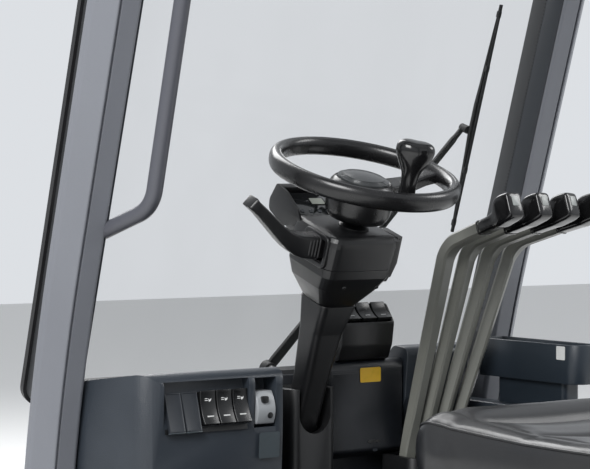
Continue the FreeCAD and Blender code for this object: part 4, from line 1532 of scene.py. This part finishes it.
# %% Stickers
def plate(name, wide, high, thick=0.0004, corner=0.003):
    """A thin plate on XY with round corners, its middle at the origin."""
    film = begin(name, "plane", size=1)
    bpy.ops.transform.resize(value=(wide, high, 1))
    bpy.ops.mesh.bevel(offset=corner, segments=5, affect="VERTICES")
    modify(film, "SOLIDIFY", thickness=thick, offset=0)
    return film


def sticker_on(name, finish, wide, high, point, normal, corner=0.003):
    """Lays a sticker on a face: +Z along the face's normal, +Y as near upright as it can be."""
    out = Vector(normal).normalized()
    across = Vector((0, 0, 1)).cross(out).normalized()
    turn = Matrix((across, out.cross(across), out)).transposed().to_4x4()
    film = plate(name, wide, high, corner=corner)
    return settle(film, finish, "cab", 30, Matrix.Translation(point + out * 0.0004) @ turn)


# Painted shade: a near-black plate on the sloping bed darkens the back of the switch well.
bed = plate("switch_well_shade", 0.158, 0.083, 0.0008, 0.002)
settle(bed, rocker_plastic, "cab", 30, on_bed(-263.5, 42) @ move(0, 0, -1.2))
laid = [
    sticker_on("sticker_pod", yellow_label, 0.046, 0.026, mm(142, 569.9, 546.5), (0, -1, 0.0235)),
    sticker_on(
        "plate_pod", grey_label, 0.041, 0.043, mm(-141.5, 473.8, 452), (0, -1, -0.0587),
        corner=0.004,
    ),
    sticker_on(
        "sticker_tray", white_label, 0.022, 0.024, mm(385, 338, 589), (-1, 0, 0), corner=0.002
    ),
]
# Painted shade: two flat dark plates on the right pod stand for the dark insides of its slots.
for wide, x, z, finish in ((0.027, 152.5, 427, rocker_plastic), (0.010, 155, 411, key_plastic)):
    slot = plate("pod_slot_shade", wide, 0.0045, 0.0009, 0.0015)
    settle(slot, finish, "cab", 30, facing(mm(x, 573.2, z), (0, -1, -0.0235)))
print("stickers:", [film.name for film in laid])

# %% [markdown]
# ## Display
# The display stands in a hooded recess ahead of the wheel. Its face is dark glass with one small
# crystal window and a row of round keys. All of it is placed on the slope of the screen by one
# function, so that it tilts with the glass.

# %% Display details
SCREEN_UP = Vector((0, 66, 25.46)).normalized()
ACROSS = Vector((1, 0, 0))


def on_screen(x, along, lift=0.0):
    """A place on the sloping screen, in millimetres from its foot. +Z stands off the glass."""
    out = ACROSS.cross(SCREEN_UP)
    point = mm(x, 58.9, -100.2) + SCREEN_UP * (along / 1000) + out * lift
    turn = Matrix((ACROSS, SCREEN_UP, out)).transposed().to_4x4()
    return COLUMN @ Matrix.Translation(point) @ turn


eased("display_screen", 0.0006)
pane = plate("window_pane", 0.027, 0.015, 0.0008, 0.0015)
settle(pane, window, "column", 30, on_screen(-8, 48, 0.0005), ())
frame_line = plate("window_frame", 0.031, 0.019, 0.0006, 0.0022)
settle(frame_line, gloss_black, "column", 30, on_screen(-8, 48, 0.0003), ())
key = lathe("display_key", 28, [(0, 4.2), (1.0, 4.2), (1.6, 3.612), (1.4, 2.52)])
bpy.ops.object.mode_set(mode="OBJECT")
round_keys = [copy_of(key, "display_key", on_screen(-52 + i * 18, 22)) for i in range(5)]
bpy.data.objects.remove(key)
settle(join("display_keys", round_keys), key_plastic, "column", 40, None, ())
print("display keys:", len(round_keys))

# %% [markdown]
# The hood can't hang in the air, so a moulded shoulder carries it. It grows out of the front of
# the column's head and widens up to the hood's underside.

# %% Shoulder under the hood
def shoulder():
    saddle = bar("hood_shoulder", mm(-50, 44, -172), mm(32, 72, -166))
    pick(lambda f: f.normal.z > 0.9)
    grow(
        mm(-9, 58, -166),
        [(mm(-11, 64, -146), 50, 22), (mm(-13, 70, -128), 57, 29), (mm(-14, 74, -114), 59.5, 33),
         (mm(-14, 74, -104), 59.5, 31), (mm(-14, 72, -98), 56, 26), (mm(-14, 70, -95.5), 48, 18)],
        (41, 14),
    )
    round_off("z", 0.014, 6, 0.3, clamp_overlap=True)
    soften(saddle, 0.002, 3, 14)
    return settle(saddle, black_plastic, "column", 40, COLUMN, ())


tell(shoulder())

# %% [markdown]
# ## Pedals
# The accelerator is a long plate, hinged at the floor, with a moulded tread of cross ribs. A rib is
# modelled once and copied along the pad, because a tread is a shape and not only a bump.

# %% Accelerator
HEEL = move(0, 372, 134) @ Matrix.Rotation(math.radians(33), 4, "X")


def tread(low, high, width, segments, pitch, count):
    """Cross ribs along a pad: one is modelled between two corners, its upper edges rounded."""
    rib = bar("rib", low, high)
    pick(lambda e: runs(e, "x") > 0.9 and middle(e).z > high.z - 0.0005, "edges")
    bpy.ops.mesh.bevel(offset=width, segments=segments)
    bpy.ops.object.mode_set(mode="OBJECT")
    ribs = [copy_of(rib, "rib", move(0, i * pitch, 0)) for i in range(count)]
    bpy.data.objects.remove(rib)
    return ribs


def accelerator():
    pad = bar("accelerator_plate", mm(94, 2, -2), mm(160, 186, 5.5))
    round_off("z", 0.009, 5)
    pick(lambda f: f.normal.z > 0.9)
    bpy.ops.mesh.inset(thickness=0.003, depth=0.0012)
    soften(pad, 0.0009, 2)
    ribs = tread(mm(100, 8, 6), mm(154, 12.5, 8.8), 0.0012, 3, 8.6, 20)
    barrel = collar("barrel", "x", mm(127, 0, 0), 0.009, 0.066, 0.0035, -0.0006)
    whole = join("accelerator_tread", [pad, *ribs, barrel])
    return settle(
        whole, pedal_rubber, "accelerator", 35, HEEL, ["accelerator_pedal"]
    )


tell(accelerator())

# %% [markdown]
# The brake is a small pad on a bent rod that hangs from its own hinge. Rod and eye are painted
# steel, the pad is rubber, so they are two pieces that ride on one pedal.

# %% Brake
BRAKE_PAD = move(-98, 508, 188) @ Matrix.Rotation(math.radians(62), 4, "X")


def brake():
    hinge = mm(-86, 600, 300)
    arm = swept("brake_arm", [hinge, mm(-86, 562, 196), mm(-86, 512, 187)], 0.024, 0.008)
    eye = collar("eye", "x", hinge, 0.014, 0.018, 0.0025, 0.0006)
    steelwork = join("brake_arm", [arm, eye])
    settle(steelwork, frame_black, "brake", 35, None, ["brake_pedal"])
    pad = bar("brake_rubber", mm(-36, -30, 1), mm(36, 30, 9))
    round_off("z", 0.008, 5)
    soften(pad, 0.0018, 3)
    ribs = tread(mm(-31, -26, 8), mm(31, -22, 11.6), 0.001, 2, 8, 7)
    rubber_pad = join("brake_rubber", [pad, *ribs])
    return settle(rubber_pad, pedal_rubber, "brake", 35, BRAKE_PAD, ())


tell(brake())

# %% [markdown]
# ## Wiper
# The wiper works on the outside of the glass. All of it is drawn upright and then leaned onto the
# glass. The blade is a spine, thickest in the middle, with four claws that hold a thin rubber lip
# against the pane. Spine and lip are grown as long tapering bars, since their section changes all
# the way.

# %% Wiper blade
UP_GLASS = move(0, 688.8, 565) @ Matrix((
    (1, 0, 0, 0), (0, 0.9516, -0.3074, 0), (0, 0.3074, 0.9516, 0), (0, 0, 0, 1),
))


def wiper_blade():
    """Drawn with Z up the glass and Y away from the driver, so the glass is at Y = 5 mm."""
    lean = move(374, 0, 242) @ Matrix.Rotation(math.atan2(4, 434), 4, "Y")
    spine = bar("wiper_spine", mm(-3, 9.6, 0), mm(3, 11, 12))
    pick(lambda f: f.normal.z > 0.9)
    grow(
        mm(0, 10.3, 12),
        [(mm(0, 12, 60), 1.1, 2.2), (mm(0, 14.6, 150), 1.4, 4.2), (mm(0, 15.6, 190), 1.9, 4.6),
         (mm(0, 15.6, 244), 1.9, 4.6), (mm(0, 14.6, 284), 1.4, 4.2), (mm(0, 12, 374), 1.1, 2.2),
         (mm(0, 10.3, 422), 1, 1), (mm(0, 10.3, 434), 1, 1)],
        (1, 1),
    )
    soften(spine, 0.0008, 2, 20)
    claws = []
    for z in (18, 120, 314, 416):
        claw = bar("claw", mm(-4, 6.6, z - 6), mm(4, 13, z + 6))
        soften(claw, 0.0014, 2)
        claws.append(claw)
    spine = join("wiper_spine", [spine, *claws])
    spine.data.transform(lean)
    settle(spine, wiper_black, "wiper", 35, UP_GLASS, ["wiper_blade"])
    lip = bar("wiper_lip", mm(-2.6, 6.9, 0), mm(2.6, 9.4, 434))
    pick(lambda f: f.normal.y < -0.9)
    grow(mm(0, 6.9, 217), [(mm(0, 6.7, 217), 0.4, 1), (mm(0, 6.25, 217), 0.25, 1)], (1, 1))
    bpy.ops.object.mode_set(mode="OBJECT")
    lip.data.transform(lean)
    settle(lip, seal_rubber, "wiper", 35, UP_GLASS, ())
    return spine


tell(wiper_blade())

# %% [markdown]
# A cast boss sits on the spindle, a pressed arm tapers away from it, and a clip at its end carries
# the blade. The arm is one bar grown through its sections: a broad root, a slim middle, and a
# wider end where the clip takes hold.

# %% Wiper arm
def wiper_arm():
    """The arm runs from the spindle to the clip, tapering, with a spring sleeve near its root."""
    aside, up = 340, 462
    run = math.hypot(aside, up)
    lean = move(30, 0, -25) @ Matrix.Rotation(math.atan2(aside, up), 4, "Y")
    arm = bar("arm", mm(-9, 31.2, -6), mm(9, 37.8, 8))
    pick(lambda f: f.normal.z > 0.9)
    grow(
        mm(0, 34.5, 8),
        [(mm(0, 34.8, 20), 10, 3.6), (mm(0, 34.8, 118), 9, 3.6), (mm(0, 34.5, 126), 6.5, 3.0),
         (mm(0, 34.5, run - 120), 4.6, 2.8), (mm(0, 34.5, run - 112), 6.2, 3.4),
         (mm(0, 34.5, run - 30), 6.2, 3.4), (mm(0, 34.5, run - 22), 5, 3),
         (mm(0, 34.5, run + 4), 5, 3)],
        (9, 3.3),
    )
    soften(arm, 0.0012, 3, 25)
    arm.data.transform(lean)
    boss = collar("boss", "y", mm(30, 34.9, -25), 0.014, 0.017, 0.003, 0.0006)
    soften(boss, 0.0012, 3, 50)
    clip = collar("clip", "y", mm(370, 28.6, 437), 0.0075, 0.0185, 0.002, 0.0005, vertices=32)
    whole = join("wiper_lever", [arm, boss, clip])
    return settle(whole, wiper_black, "wiper", 35, UP_GLASS, ["wiper_arm"])


tell(wiper_arm())

# %% [markdown]
# ## Fasteners
# Hexagon bolts hold the guard's feet and the seat's deck to the sills, and the bulkhead to the
# windscreen's frame. One bolt with its washer is modelled at the origin, and copies are stood on
# each face.

# %% Bolts
ACROSS_FLATS, WASHER = 13, 11.5


def hex_bolt():
    """A bolt head, 5.5 mm tall, on a round washer."""
    disc = lathe("bolt", 36, [(0, WASHER), (1.4, WASHER), (1.8, WASHER * 0.96)])
    r = ACROSS_FLATS / 1.732
    hexagon = lathe("hexagon", 6, [(1.2, r), (5.875, r), (6.7, r * 0.88), (6.5, r * 0.6)])
    return join("bolt", [disc, hexagon])


places = []
for side in (-1, 1):
    for y in (640, 672):
        places.append(facing(mm(side * 429.4, y, 62), (-side, 0, 0)))
    for y in (-716, -690):
        places.append(facing(mm(side * 510.2, y, 62), (side, 0, 0)))
for x in (-400, -200, 0, 200, 400):
    places.append(facing(mm(x, 649.6, 530), (0, -1, 0)))
for x in (-460, 460):
    for y in (-300, -560):
        places.append(facing(mm(x, y, 305.2), (0, 0, 1)))
scatter(hex_bolt(), "frame_bolts", places, zinc, "cab")
print("bolts:", len(places))

# %% [markdown]
# ## Pillar liners of painted shade
# Inside the front pillars runs a dark plastic liner. It is painted shade: it darkens the pillars'
# inner faces, where shade falls. A toothed rubber edge along it stands for the pillar's dark trim
# strip. The teeth are modelled once and copied up the straight part of the pillar.

# %% Liners of painted shade
PILLAR_SLOPE = 0.323  # how far a front pillar leans back, per metre of height
TEETH, TOOTH_PITCH = 160, 6.4


def pillar_shade_liner(side, name):
    """One pillar's liner, a dark sheet of painted shade. Its side is -1 on the left and 1 on the
    right.
    """
    spot = mm(side * 429, 611 - PILLAR_SLOPE * 535, 1100)
    place = Matrix.Translation(spot) @ Matrix.Rotation(math.atan(PILLAR_SLOPE), 4, "X")
    low, high = sorted((-side * 1.8, side * 0.4))
    sheet = bar(name, mm(low, -21, -520), mm(high, 22, 512))
    soften(sheet, 0.0007, 2)
    low, high = sorted((-side * 2.6, 0))
    tooth = bar("tooth", mm(low, 21, -1.5), mm(high, 25.5, 1.5))
    pick(lambda f: f.normal.y > 0.9)
    reshape(Matrix.Diagonal((0.8, 1, 0.35)), mm(-side * 1.3, 25.5, 0))
    bpy.ops.object.mode_set(mode="OBJECT")
    steps = [move(0, 0, -512 + i * TOOTH_PITCH) for i in range(TEETH)]
    teeth = [copy_of(tooth, "tooth", step) for step in steps]
    bpy.data.objects.remove(tooth)
    settle(sheet, liner_shade_plastic, "cab", 30, place, ())
    edge = join(name + "_teeth", teeth)
    return settle(edge, seal_rubber, "cab", 30, place, ())


for side, name in ((-1, "liner_left"), (1, "liner_right")):
    tell(pillar_shade_liner(side, name))

# %% [markdown]
# ## Floor, sky and lamps
# The cab stands on a plain floor under soft light. A background as pale as the photograph's would
# throw so much light that the greys of the cab wash out. So floor and sky are paler only for the
# rays that are seen, straight or in a reflection, and the light that falls on the cab is weaker.

# %% Studio
def seen_rays(tree):
    """1 for what is seen: straight, in a reflection or through glass. 0 for light that falls."""
    path = tree.nodes.new("ShaderNodeLightPath")
    total = path.outputs["Is Camera Ray"]
    for ray in ("Is Glossy Ray", "Is Transmission Ray"):
        both = tree.nodes.new("ShaderNodeMath")
        both.use_clamp = True
        tree.links.new(total, both.inputs[0])
        tree.links.new(path.outputs[ray], both.inputs[1])
        total = both.outputs[0]
    return total


def studio_floor():
    """Pale where it is seen, but it throws little light back up, as a workshop's floor does."""
    f = Finish("studio_floor")
    seen = Link(f, seen_rays(f.tree))
    f.surface(Base_Color=f.blend(seen, (0.40, 0.40, 0.40), (0.97, 0.97, 0.96)), Roughness=0.85)
    floor = begin("studio_floor", "plane", size=24, location=(0, 0, -0.001))
    bpy.ops.object.mode_set(mode="OBJECT")
    floor.data.materials.append(f.material)


studio_floor()
world = bpy.data.worlds.new("world")
bpy.context.scene.world = world
world.use_nodes = True
tree = world.node_tree
sky = tree.nodes["Background"]
sky.inputs["Color"].default_value = (0.90, 0.93, 0.97, 1)
LIGHT, LOOK = 0.50, 0.80  # the sky's strength as light, and as it is seen
strength = tree.nodes.new("ShaderNodeMapRange")
strength.inputs["To Min"].default_value = LIGHT
strength.inputs["To Max"].default_value = LOOK
tree.links.new(seen_rays(tree), strength.inputs["Value"])
tree.links.new(strength.outputs["Result"], sky.inputs["Strength"])
print("sky:", LIGHT, "as light,", LOOK, "as it is seen")

# %% [markdown]
# Three large lamps aim at the steering wheel: a strong one at the left behind the driver, one
# ahead that draws the edges of the glossy pieces, and a weak one at the right to open the shadows.

# %% Lamps
AIM = Vector((0, 0.2, 0.8))
for name, place, size, power in (
    ("lamp_left", (-3.0, -1.4, 3.0), 1.8, 150),
    ("lamp_ahead", (0.4, 3.2, 3.4), 2.2, 110),
    ("lamp_right", (3.2, -1.0, 2.8), 1.4, 45),
):
    lamp_data = bpy.data.lights.new(name, "AREA")
    lamp_data.size, lamp_data.energy = size, power
    lamp = bpy.data.objects.new(name, lamp_data)
    lamp.location = place
    lamp.rotation_euler = (AIM - Vector(place)).to_track_quat("-Z", "Y").to_euler()
    bpy.context.scene.collection.objects.link(lamp)
    print(name, power, "W")
